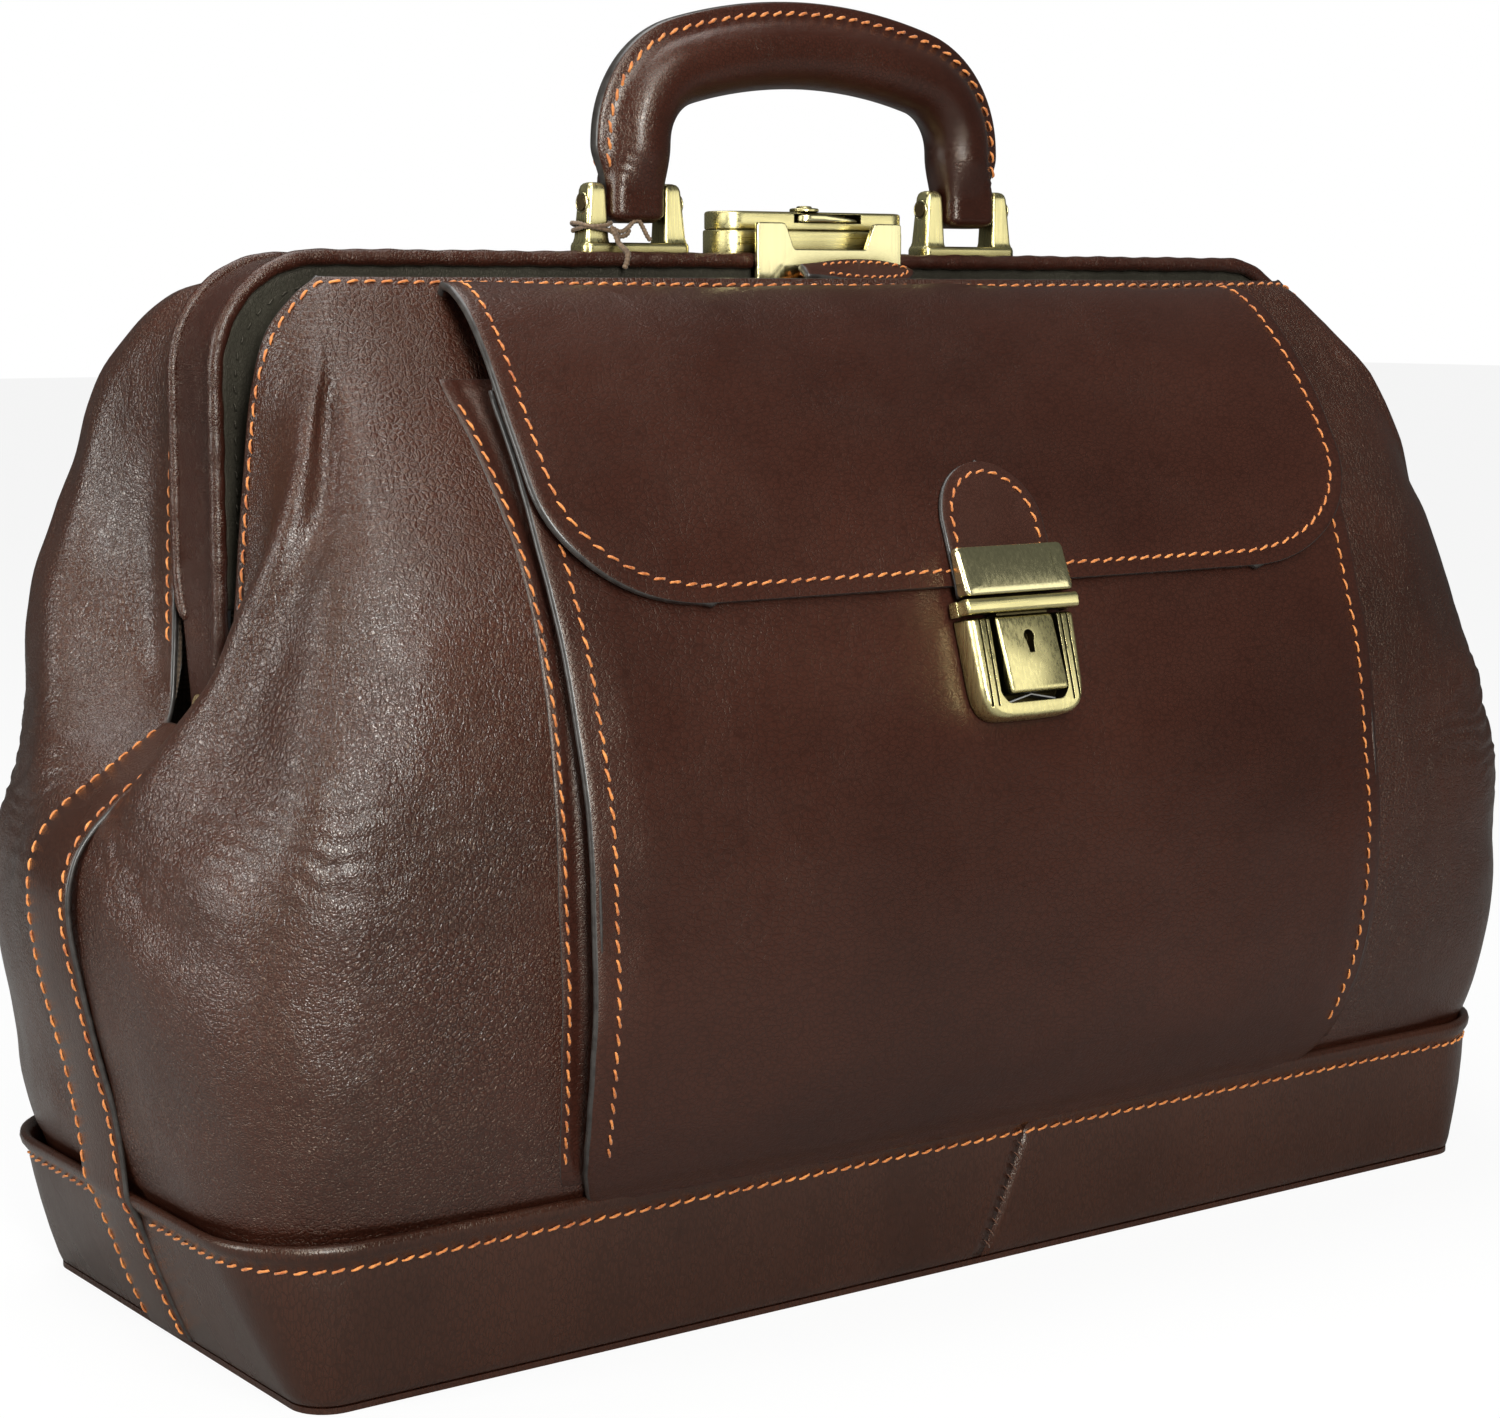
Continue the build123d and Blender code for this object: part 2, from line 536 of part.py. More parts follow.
def post_section(x0, x1, half_depth, z):
    y0, y1 = BRACKET_Y - half_depth, BRACKET_Y + half_depth
    return loop_wire([(x0, y0, z), (x1, y0, z), (x1, y1, z), (x0, y1, z)])


def bracket(x):
    """Plate with two tapered posts that carry the handle pin."""
    half_length, half_depth = BRACKET_LENGTH / 2, BRACKET_DEPTH / 2
    plate = box(x - half_length, x + half_length, BRACKET_Y - half_depth, BRACKET_Y + half_depth,
                DECK_Z, DECK_Z + BRACKET_PLATE)
    plate = fillet(plate.edges().filter_by(Axis.Z), 2.5)
    body = chamfer(plate.faces().sort_by(Axis.Z)[-1].edges(), 0.8)
    for side in (-1, 1):
        foot_x = x + side * BRACKET_GAP / 2
        top_x = x + side * (BRACKET_GAP / 2 + 0.4)
        post = Solid.make_loft([
            post_section(foot_x, foot_x + side * POST_FOOT_LENGTH, POST_FOOT_HALF_DEPTH,
                         DECK_Z + 3.0),
            post_section(top_x, top_x + side * POST_TOP_LENGTH, POST_TOP_HALF_DEPTH,
                         BRACKET_TOP)], ruled=True)
        body = body + chamfer(Part(post.wrapped).faces().sort_by(Axis.Z)[-1].edges(), 1.2)
    body = body - rod_x(HANDLE_PIN_R + 0.03, x - 25, x + 25, BRACKET_Y, HANDLE_PIVOT_Z)
    for side in (-1, 1):
        body = body - rod_z(SCREW_HOLE_R, x + side * BRACKET_SCREW_OFFSET, BRACKET_Y,
                            DECK_Z - 1, DECK_Z + 7)
    return body


def frame_screw(x, y, tip_z):
    """Screw driven up through the rear frame, its head under the steel."""
    return (rod_z(SCREW_R, x, y, FRAME_UNDERSIDE - 0.6, tip_z)
            + rod_z(SCREW_HEAD_R, x, y, FRAME_UNDERSIDE - 1.8, FRAME_UNDERSIDE - 0.05))


write("handle_bracket_left", bracket(-BRACKET_X))
write("handle_bracket_right", bracket(BRACKET_X))
write("bracket_screws", *[frame_screw(x, y, DECK_Z + 6) for x, y in BRACKET_SCREWS])
write("lock_screws", *[frame_screw(x, y, DECK_Z + 5) for x, y in LOCK_SCREWS])
write("handle_pins", *[rod_x(HANDLE_PIN_R, x - PIN_REACH, x + PIN_REACH, BRACKET_Y, HANDLE_PIVOT_Z)
                       for x in (-BRACKET_X, BRACKET_X)])

# ------------------------------------------------------------------ handle
# An oval bar: two upright legs, two tight bends and one long shallow arch,
# all tangent to each other.
HANDLE_RADIAL = 12.2  # half-axes of the grip's oval section
HANDLE_THICK = 9.6
HANDLE_HALF_SPAN = 57.3
HANDLE_CENTRE_Z = 331.6
HANDLE_BEND_R = 22.0
HANDLE_ARCH_R = 150.0
CORE_R = 2.5
CORE_HOLE_R = 2.6
END_HALF_LENGTH = 8.6  # blocks that end the grip between the bracket posts
END_HALF_DEPTH = 6.4
BEND_ANGLE = math.asin((HANDLE_HALF_SPAN - HANDLE_BEND_R) / (HANDLE_ARCH_R - HANDLE_BEND_R))
ARCH_Z = HANDLE_CENTRE_Z - HANDLE_ARCH_R
BEND_Z = ARCH_Z + (HANDLE_ARCH_R - HANDLE_BEND_R) * math.cos(BEND_ANGLE)


def handle_bar(radial, thick, low):
    arch_section = Plane(origin=(0, BRACKET_Y, HANDLE_CENTRE_Z), x_dir=(0, 1, 0),
                         z_dir=(1, 0, 0)) * Ellipse(thick, radial)
    arch_axis = Axis((0, 0, ARCH_Z), (0, 1, 0))
    bar = revolve(arch_section.rotate(arch_axis, -math.degrees(BEND_ANGLE)), arch_axis,
                  2 * math.degrees(BEND_ANGLE))
    for side in (-1, 1):
        x = side * HANDLE_HALF_SPAN
        section = Pos(x, BRACKET_Y, BEND_Z) * Ellipse(radial, thick)
        bend_axis = Axis((x - side * HANDLE_BEND_R, 0, BEND_Z), (0, -side, 0))
        bar = bar + revolve(section, bend_axis, 90 - math.degrees(BEND_ANGLE))
        bar = bar + Pos(x, BRACKET_Y, low) * extrude(Ellipse(radial, thick), BEND_Z - low)
    return bar


grip = handle_bar(HANDLE_RADIAL, HANDLE_THICK, 297.0)
for x in (-BRACKET_X, BRACKET_X):
    end_block = box(x - END_HALF_LENGTH, x + END_HALF_LENGTH,
                    BRACKET_Y - END_HALF_DEPTH, BRACKET_Y + END_HALF_DEPTH, 282.9, 299.0)
    grip = grip + fillet(end_block.edges().filter_by(Axis.Z), 2.5)
grip = grip - rod_x(HANDLE_PIN_R + 0.06, -80, 80, BRACKET_Y, HANDLE_PIVOT_Z)
write("handle_grip_leather", grip - handle_bar(CORE_HOLE_R, CORE_HOLE_R, 296.0))
write("handle_core_rod", handle_bar(CORE_R, CORE_R, 296.1))

# -------------------------------------------------------------- frame lock
LOCK_LENGTH = 66.0
LOCK_DEPTH = 15.0
LOCK_BASE_TOP = DECK_Z + 8.5
LOCK_CASE_TOP = DECK_Z + 13.6
TONGUE_Z0 = DECK_Z + 1.8
TONGUE_Z1 = DECK_Z + 3.1
LEVER_X = -2.0
LEVER_Y = -4.6
LEVER_SHAFT_R = 1.9
LEVER_HOLE_R = 1.96
LEVER_Z = LOCK_BASE_TOP + 2.3
LEVER_THICK = 2.0
# (x, y) from the lever's axis
LEVER_OUTLINE = [
    (0, -4.4), (7, -4.3), (13.5, -4.0), (16.3, -3.2), (15.6, -2.4), (9, -1.2), (4, 2.6), (0, 4.4),
]
# (x, y): a thin bent blade
BLADE_OUTLINE = [(18.2, -5.4), (21.4, -0.4), (18.2, 4.6), (18.6, 4.8), (21.9, -0.4), (18.6, -5.6)]


def slot_block(length, depth, z0, z1):
    return Pos(LOCK_X, LOCK_Y, z0) * extrude(SlotOverall(length, depth), z1 - z0)


def lever_rod(radius, z0, z1):
    return rod_z(radius, LEVER_X, LEVER_Y, z0, z1)


# Base: screw holes, a room for the works, the tongue slot, the lever's hole.
lock_base = slot_block(LOCK_LENGTH, LOCK_DEPTH, DECK_Z, LOCK_BASE_TOP)
for x, y in LOCK_SCREWS:
    lock_base = lock_base - rod_z(SCREW_HOLE_R, x, y, DECK_Z - 1, DECK_Z + 5.2)
lock_base = lock_base - box(-8.0, 22.5, -5.9, 5.2, DECK_Z - 1, DECK_Z + 4.6)
lock_base = lock_base - box(-6.6, 6.6, -20, -5.0, TONGUE_Z0 - 0.4, TONGUE_Z1 + 0.4)
lock_base = lock_base - lever_rod(LEVER_HOLE_R, DECK_Z + 3.4, LOCK_BASE_TOP + 1)
write("frame_lock_base", lock_base)

# Case: open at the front where the lever swings out.
lock_case = slot_block(LOCK_LENGTH - 1, LOCK_DEPTH - 1, LOCK_BASE_TOP + 0.05, LOCK_CASE_TOP)
lock_case = chamfer(lock_case.faces().sort_by(Axis.Z)[-1].edges(), 0.7)
lock_case = lock_case - box(LEVER_X - 5.2, LEVER_X + 18.0, -20, 0.6,
                            LEVER_Z - 0.2, LEVER_Z + LEVER_THICK + 0.2)
lock_case = lock_case - lever_rod(LEVER_HOLE_R, LOCK_BASE_TOP - 1, LOCK_CASE_TOP + 2)
write("frame_lock_case", lock_case)

# Lever: shaft, teardrop blade with a round hub, and a cap above the case.
teardrop = make_face(Polyline(*[(LEVER_X + x, LEVER_Y + y) for x, y in LEVER_OUTLINE],
                              close=True))
lever = lever_rod(LEVER_SHAFT_R, DECK_Z + 3.7, LOCK_CASE_TOP + 0.4)
lever = lever + Pos(0, 0, LEVER_Z) * extrude(teardrop, LEVER_THICK)
lever = lever + lever_rod(4.4, LEVER_Z, LEVER_Z + LEVER_THICK)
lever = lever + lever_rod(4.1, LOCK_CASE_TOP + 0.1, LOCK_CASE_TOP + 1.3)
write("frame_lock_lever", lever)

write("frame_lock_bolt", box(6.6, 17.5, -5.4, -3.4, TONGUE_Z0, TONGUE_Z1))
write("frame_lock_spring", pull(flat([(x, y, TONGUE_Z0) for x, y in BLADE_OUTLINE]),
                                0, 0, TONGUE_Z1 - TONGUE_Z0))

# ------------------------------------- hasp plate on the front frame half
HASP_HALF_WIDTH = 25
HASP_Y0 = -14.4
HASP_Y1 = -12.8
HASP_FOOT_Z = FRONT_FRAME_TOP + 1.9
HASP_TOP = 283.4
HASP_NOTCH_Z = 276.2
# (x, z): an upright plate with a notch in its top edge
HASP_OUTLINE = [
    (-HASP_HALF_WIDTH, HASP_FOOT_Z), (HASP_HALF_WIDTH, HASP_FOOT_Z), (HASP_HALF_WIDTH, HASP_TOP),
    (15.5, HASP_TOP), (12.5, HASP_NOTCH_Z), (-12.5, HASP_NOTCH_Z), (-15.5, HASP_TOP),
    (-HASP_HALF_WIDTH, HASP_TOP),
]
hasp = pull(flat([(x, HASP_Y0, z) for x, z in HASP_OUTLINE]), 0, HASP_Y1 - HASP_Y0, 0)
hasp = hasp + box(-HASP_HALF_WIDTH, HASP_HALF_WIDTH, FRONT_FRAME_Y0 + 0.5, HASP_Y1,
                  HASP_FOOT_Z, HASP_FOOT_Z + 1.6)
# the hooked tongue that enters the lock
hasp = hasp + box(-6, 6, HASP_Y1 - 0.2, -5.9, TONGUE_Z0, TONGUE_Z1)
hasp = hasp + box(-6, 1.2, -6.0, -2.4, TONGUE_Z0, TONGUE_Z1)
for x in HASP_RIVET_XS:
    hasp = hasp - rod_z(HASP_RIVET_HOLE_R, x, HASP_RIVET_Y, 260, 270)
write("hasp_plate", hasp)
write("hasp_rivets", *[
    rod_z(HASP_RIVET_R, x, HASP_RIVET_Y, FRONT_FRAME_TOP - FRONT_FRAME_STEEL - 1.2,
          FRONT_FRAME_TOP + 4.0)
    + rod_z(2.6, x, HASP_RIVET_Y, FRONT_FRAME_TOP + 3.55, FRONT_FRAME_TOP + 4.4)
    for x in HASP_RIVET_XS])

# -------------------------------------------------------- leather pull tab
PULL_TILT = 0.9  # radians
PULL_PLANE = Plane(origin=(-13.0, -18.6, 268.9), x_dir=(1, 0, 0),
                   z_dir=(0, -math.cos(PULL_TILT), math.sin(PULL_TILT)))
PULL_THICK = 2.4
# (x, y) in the tilted plane
PULL_OUTLINE = [
    (0, -2.2), (7, -3.0), (14, -4.6), (24, -5.4), (33, -4.0), (38, 0.0),
    (33, 3.2), (24, 4.6), (14, 4.2), (7, 3.0), (0, 2.2),
]
write("pull_tab", PULL_PLANE * extrude(make_face(Polyline(*PULL_OUTLINE, close=True)), PULL_THICK))
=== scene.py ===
"""A leather bag with a hinged mouth frame, a front pocket under a flap, and brass locks.

The bag stands on z = 0 with its length along X.  The front faces -Y and left is -X.
Shapes are measured in millimetres and turned into metres when a mesh is made;
materials, lights and the camera are in metres.
"""
import json
import math
import random

import bmesh
import bpy
import numpy as np
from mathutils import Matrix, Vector, noise

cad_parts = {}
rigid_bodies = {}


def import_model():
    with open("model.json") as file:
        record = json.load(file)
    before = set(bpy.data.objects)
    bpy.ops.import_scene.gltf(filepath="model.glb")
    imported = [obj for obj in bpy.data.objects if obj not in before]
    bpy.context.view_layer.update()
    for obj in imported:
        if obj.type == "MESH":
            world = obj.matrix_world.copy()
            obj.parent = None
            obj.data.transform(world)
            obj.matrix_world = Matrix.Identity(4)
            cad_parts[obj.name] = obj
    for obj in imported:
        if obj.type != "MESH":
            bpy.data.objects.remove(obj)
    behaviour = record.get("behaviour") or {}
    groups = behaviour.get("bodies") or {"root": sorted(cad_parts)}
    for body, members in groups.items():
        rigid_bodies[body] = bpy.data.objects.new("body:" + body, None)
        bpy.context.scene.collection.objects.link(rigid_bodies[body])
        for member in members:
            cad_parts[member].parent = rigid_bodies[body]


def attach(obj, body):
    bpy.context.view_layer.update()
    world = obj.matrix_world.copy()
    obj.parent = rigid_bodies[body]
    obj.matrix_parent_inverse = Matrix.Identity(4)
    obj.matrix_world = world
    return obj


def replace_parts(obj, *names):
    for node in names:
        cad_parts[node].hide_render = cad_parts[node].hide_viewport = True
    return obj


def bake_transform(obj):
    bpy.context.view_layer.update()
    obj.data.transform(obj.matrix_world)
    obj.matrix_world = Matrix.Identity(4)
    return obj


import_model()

for default in ("Cube", "Light", "Camera"):
    if bpy.data.objects.get(default):
        bpy.data.objects.remove(bpy.data.objects[default], do_unlink=True)
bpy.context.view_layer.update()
random.seed(7)
np.random.seed(7)

# Moving bodies of the product
ROOT, REAR, HANDLE, FLAP = "bag_body", "rear_half", "handle", "flap"
LEVER, SLIDER, PULL = "lock_lever", "lock_slider", "pull_tab"

MM = 0.001
FRONTWARD = np.array([0, -1.0, 0])
BACKWARD = -FRONTWARD


# ------------------------------------------------------------------ materials
class Material:
    """A principled material with short ways to add and wire nodes."""

    def __init__(self, name):
        self.material = bpy.data.materials.new(name)
        self.material.use_nodes = True
        self.tree = self.material.node_tree
        self.tree.nodes.clear()
        self.output = self.node("ShaderNodeOutputMaterial")
        self.principled = self.node("ShaderNodeBsdfPrincipled")
        self.feed(self.output, "Surface", self.principled.outputs["BSDF"])
        self.coordinates = self.node("ShaderNodeTexCoord").outputs["Object"]

    def feed(self, node, socket, value):
        """Links a socket to an input, or sets the input's value."""
        if isinstance(value, bpy.types.NodeSocket):
            self.tree.links.new(value, node.inputs[socket])
        else:
            node.inputs[socket].default_value = value

    def node(self, kind, inputs=None, **settings):
        node = self.tree.nodes.new(kind)
        for key, value in settings.items():
            setattr(node, key, value)
        for socket, value in (inputs or {}).items():
            self.feed(node, socket, value)
        return node

    def shade(self, inputs):
        """Fills in the principled shader and returns the finished material."""
        for socket, value in inputs.items():
            self.feed(self.principled, socket, value)
        return self.material

    def mapping(self, scale=(1, 1, 1)):
        return self.node("ShaderNodeMapping",
                         {"Scale": scale, "Vector": self.coordinates}).outputs["Vector"]

    def noise(self, vector, scale, detail=4.0, roughness=0.55, distortion=0.0, output="Fac"):
        return self.node("ShaderNodeTexNoise", {
            "Vector": vector, "Scale": scale, "Detail": detail, "Roughness": roughness,
            "Distortion": distortion}).outputs[output]

    def ramp(self, source, *stops):
        """Colour ramp; each stop is a position and a colour or a grey level."""
        node = self.node("ShaderNodeValToRGB", {"Fac": source})
        elements = node.color_ramp.elements
        while len(elements) < len(stops):
            elements.new(0.5)
        for element, (position, colour) in zip(elements, stops):
            if isinstance(colour, (int, float)):
                colour = (colour,) * 3
            element.position = position
            element.color = (*colour, 1.0)
        return node.outputs[0]

    def math(self, operation, first, second, clamp=False):
        return self.node("ShaderNodeMath", {0: first, 1: second},
                         operation=operation, use_clamp=clamp).outputs[0]

    def weighted(self, first, first_weight, second, second_weight):
        return self.math("ADD", self.math("MULTIPLY", first, first_weight),
                         self.math("MULTIPLY", second, second_weight))

    def multiply_colour(self, factor, first, second):
        return self.node("ShaderNodeMix", {"Factor": factor, 6: first, 7: second},
                         data_type="RGBA", blend_type="MULTIPLY").outputs[2]

    def bump(self, height, distance, strength, normal=None):
        inputs = {"Height": height, "Distance": distance, "Strength": strength}
        if normal is not None:
            inputs["Normal"] = normal
        return self.node("ShaderNodeBump", inputs).outputs["Normal"]


def leather(name, dark, light, cell, depth, rough, coat, wrinkle, stretch=(1, 1, 1)):
    """Glazed cowhide: pebble cells with painted shade along their edges, creases, pores, colour
    drift and a thin glaze.

    cell and depth size the pebbles in metres; stretch scales the pattern along each axis.
    """
    mat = Material(name)
    hide = mat.mapping(stretch)
    warp = mat.noise(hide, scale=140.0, detail=2.0, output="Color")
    warped = mat.node("ShaderNodeVectorMath", {0: warp, 1: (0.0022,) * 3, 2: hide},
                      operation="MULTIPLY_ADD").outputs[0]

    def cell_edges(scale):
        return mat.node("ShaderNodeTexVoronoi", {"Scale": scale, "Vector": warped},
                        feature="DISTANCE_TO_EDGE").outputs["Distance"]

    cells = cell_edges(1.0 / cell)
    pebbles = mat.ramp(cells, (0.0, 0), (0.10, 0.55), (0.35, 1))
    small = mat.ramp(cell_edges(2.3 / cell), (0.0, 0), (0.25, 1))
    patches = mat.ramp(mat.noise(hide, scale=26.0, detail=3.0), (0.32, 0.25), (0.68, 1))
    height = mat.math("ADD", mat.math("MULTIPLY", pebbles, patches),
                      mat.math("MULTIPLY", small, 0.35))
    large = mat.noise(mat.mapping((1, 1, 0.6)), scale=95.0, detail=5.0, roughness=0.62,
                      distortion=0.6)
    pores = mat.noise(hide, scale=2600.0, detail=2.0)
    creased = mat.bump(large, distance=0.0016 * wrinkle, strength=0.55)
    pebbled = mat.bump(height, distance=depth, strength=0.9, normal=creased)

    drift = mat.noise(hide, scale=14.0, detail=4.0, roughness=0.6)
    tone = mat.ramp(drift, (0.3, dark), (0.7, light))
    # painted shade: the base colour is darkened along the pebble cell edges, where the grain's
    # hollows would be in shade
    crease_painted_shade = mat.ramp(cells, (0.0, (0.35, 0.3, 0.28)), (0.16, 1))
    return mat.shade({
        "Base Color": mat.multiply_colour(0.5, tone, crease_painted_shade),
        "Roughness": mat.ramp(mat.noise(hide, scale=60.0, detail=4.0),
                              (0.25, rough * 0.82), (0.75, min(1, rough * 1.2))),
        "Normal": mat.bump(pores, distance=0.00004, strength=0.7, normal=pebbled),
        "Specular IOR Level": 0.42,
        "Specular Tint": (1.0, 0.86, 0.72, 1),
        "Coat Weight": coat,
        "Coat Roughness": 0.20,
        "Coat Tint": (1.0, 0.93, 0.84, 1),
        # the glaze half fills the grain, so it is flatter than the hide
        "Coat Normal": mat.bump(height, distance=depth * 0.38, strength=0.9, normal=creased),
    })


def painted_edge(name):
    """Edge paint: dark grey-brown, slightly waxy, uneven along the cut."""
    mat = Material(name)
    grain = mat.noise(mat.mapping(), scale=380.0, detail=4.0)
    return mat.shade({
        "Base Color": mat.ramp(grain, (0.3, (0.020, 0.016, 0.014)), (0.7, (0.052, 0.046, 0.042))),
        "Roughness": 0.36,
        "Coat Weight": 0.2,
        "Normal": mat.bump(grain, distance=0.0002, strength=0.6),
    })


def thread(name, dark, light):
    mat = Material(name)
    base = mat.mapping()
    fibres = mat.noise(base, scale=900.0, detail=3.0)
    drift = mat.noise(base, scale=60.0, detail=2.0)
    mixed = mat.weighted(fibres, 0.6, drift, 0.4)
    return mat.shade({
        "Base Color": mat.ramp(mixed, (0.36, dark), (0.64, light)),
        "Roughness": 0.55,
        "Sheen Weight": 0.25,
        "Normal": mat.bump(fibres, distance=0.0002, strength=0.5),
    })


def brass(name, light, dark, brush=(1, 1, 1), rough=0.26):
    """Brushed antique brass: fine brush lines, dark patina in corners, softened edges.

    The brush lines run along the axis whose brush scale is small.
    """
    mat = Material(name)
    lines = mat.noise(mat.mapping(brush), scale=1500.0, detail=3.0, roughness=0.6)
    cloud = mat.noise(mat.mapping(), scale=55.0, detail=4.0)
    occlusion = mat.node("ShaderNodeAmbientOcclusion", {"Distance": 0.006}, samples=6)
    cavity = mat.ramp(occlusion.outputs["AO"], (0.45, 0), (0.95, 1))
    mixed = mat.math("ADD", mat.weighted(cloud, 0.35, lines, 0.3), 0.62)
    lightness = mat.math("MULTIPLY", mixed, cavity, clamp=True)
    soft_edge = mat.node("ShaderNodeBevel", {"Radius": 0.0003}, samples=4).outputs[0]
    return mat.shade({
        "Base Color": mat.ramp(lightness, (0.12, dark), (0.86, light)),
        "Metallic": 1.0,
        "Roughness": mat.ramp(lines, (0.3, rough * 0.8), (0.7, rough * 1.45)),
        "Normal": mat.bump(lines, distance=0.00003, strength=0.6, normal=soft_edge),
    })


def steel(name, tone):
    mat = Material(name)
    lines = mat.noise(mat.mapping((1, 0.05, 1)), scale=1400.0, detail=3.0)
    cloud = mat.noise(mat.mapping(), scale=40.0, detail=4.0)
    return mat.shade({
        "Base Color": mat.ramp(cloud, (0.3, tuple(0.7 * c for c in tone)), (0.7, tone)),
        "Metallic": 1.0,
        "Roughness": mat.ramp(lines, (0.3, 0.3), (0.7, 0.45)),
        "Normal": mat.bump(lines, distance=0.00004, strength=0.5),
    })


def cloth(name, dark, light, thread_size=0.0007):
    """Plain weave, made from bands along the three axes."""
    mat = Material(name)
    base = mat.mapping()
    along_x, along_y, along_z = [
        mat.node("ShaderNodeTexWave", {"Scale": 0.16 / thread_size, "Distortion": 0.8,
                                       "Detail": 1.0, "Vector": base},
                 wave_type="BANDS", bands_direction=direction).outputs["Fac"]
        for direction in ("X", "Y", "Z")]
    weave = mat.weighted(along_x, along_z, along_y, along_z)
    mixed = mat.weighted(weave, 0.4, mat.noise(base, scale=300.0, detail=4.0), 0.5)
    return mat.shade({
        "Base Color": mat.ramp(mixed, (0.15, dark), (0.75, light)),
        "Roughness": 0.85,
        "Sheen Weight": 0.3,
        "Normal": mat.bump(weave, distance=0.00025, strength=0.7),
    })


BODY_LEATHER = leather(
    "leather_body_pebbled", dark=(0.030, 0.0082, 0.0050), light=(0.060, 0.0165, 0.0095),
    cell=0.00155, depth=0.00034, rough=0.33, coat=0.85, wrinkle=0.55)
FLAP_LEATHER = leather(
    "leather_panel_fine", dark=(0.029, 0.0084, 0.0056), light=(0.052, 0.0155, 0.0098),
    cell=0.00105, depth=0.00010, rough=0.36, coat=0.25, wrinkle=0.30, stretch=(0.55, 1, 0.8))
BAND_LEATHER = leather(
    "leather_band_stiff", dark=(0.030, 0.0100, 0.0062), light=(0.052, 0.0180, 0.0108),
    cell=0.0011, depth=0.00009, rough=0.27, coat=0.45, wrinkle=0.22, stretch=(1, 1, 0.4))
FRAME_LEATHER = leather(
    "leather_frame_cover", dark=(0.030, 0.0088, 0.0058), light=(0.056, 0.0165, 0.0105),
    cell=0.0012, depth=0.00016, rough=0.27, coat=0.45, wrinkle=0.45)
HANDLE_LEATHER = leather(
    "leather_handle_polished", dark=(0.028, 0.0078, 0.0050), light=(0.052, 0.0150, 0.0092),
    cell=0.0011, depth=0.00008, rough=0.23, coat=0.45, wrinkle=0.30)
TAB_LEATHER = leather(
    "leather_tab_plain", dark=(0.036, 0.0125, 0.0088), light=(0.056, 0.0195, 0.0135),
    cell=0.0010, depth=0.00006, rough=0.40, coat=0.15, wrinkle=0.15)
# painted reflection: this pale grey-green tone stands in for the greenish light reflected off the
# brown binding leather
BINDING_REFLECTION_LEATHER = leather(
    "leather_binding_dull", dark=(0.020, 0.018, 0.013), light=(0.050, 0.047, 0.035),
    cell=0.0012, depth=0.00012, rough=0.5, coat=0.05, wrinkle=0.4)
EDGE_PAINT = painted_edge("painted_leather_edge")
ORANGE_THREAD = thread("thread_orange", dark=(0.36, 0.080, 0.012), light=(0.90, 0.32, 0.07))
BROWN_THREAD = thread("thread_brown", dark=(0.07, 0.025, 0.010), light=(0.18, 0.06, 0.022))
CORD_THREAD = thread("cord_brown", dark=(0.085, 0.048, 0.024), light=(0.24, 0.15, 0.085))
BRASS_UP = brass("brass_brushed_up", light=(0.90, 0.80, 0.40), dark=(0.10, 0.075, 0.022),
                 brush=(1, 1, 0.04))
BRASS_ALONG = brass("brass_brushed_along", light=(0.90, 0.80, 0.40), dark=(0.11, 0.082, 0.024),
                    brush=(0.04, 1, 1))
# painted shade: a darkened copy of the brass for parts that sit in shade under and inside the locks
BRASS_PAINTED_SHADE = brass("brass_shadowed", light=(0.26, 0.21, 0.10), dark=(0.045, 0.035, 0.014),
                   brush=(0.04, 1, 1), rough=0.36)
BRASS_BRIGHT = brass("brass_polished", light=(0.96, 0.87, 0.50), dark=(0.16, 0.12, 0.04),
                     brush=(1, 1, 0.05), rough=0.18)
SCREW_BRASS = brass("brass_blackened", light=(0.16, 0.115, 0.055), dark=(0.02, 0.015, 0.008),
                    rough=0.4)
PLAIN_STEEL = steel("steel_plain", tone=(0.42, 0.42, 0.43))
BLACK_STEEL = steel("steel_blackened", tone=(0.03, 0.028, 0.025))
LINING = cloth("lining_cotton", dark=(0.075, 0.048, 0.03), light=(0.17, 0.115, 0.075))
FIBREBOARD = cloth("fibreboard", dark=(0.16, 0.11, 0.07), light=(0.30, 0.22, 0.14),
                   thread_size=0.0016)


# ------------------------------------------------------------- curves and grids
def unit(vectors):
    vectors = np.asarray(vectors, dtype=float)
    lengths = np.linalg.norm(vectors, axis=-1, keepdims=True)
    lengths[lengths == 0] = 1
    return vectors / lengths


def arc_lengths(path):
    """Distance along a path to each of its points."""
    return np.concatenate([[0], np.cumsum(np.linalg.norm(np.diff(path, axis=0), axis=1))])


def lookup(where, places, rows):
    """Interpolates every column of a table whose rows stand at rising places."""
    return np.stack([np.interp(where, places, rows[:, i]) for i in range(rows.shape[1])], axis=-1)


def resample(path, count):
    path = np.asarray(path, dtype=float)
    places = arc_lengths(path)
    return lookup(np.linspace(0, places[-1], count), places, path)


def relax(path, times):
    """Smooths a path in place, with its ends held."""
    for _ in range(times):
        path[1:-1] = (path[:-2] + 2 * path[1:-1] + path[2:]) / 4
    return path


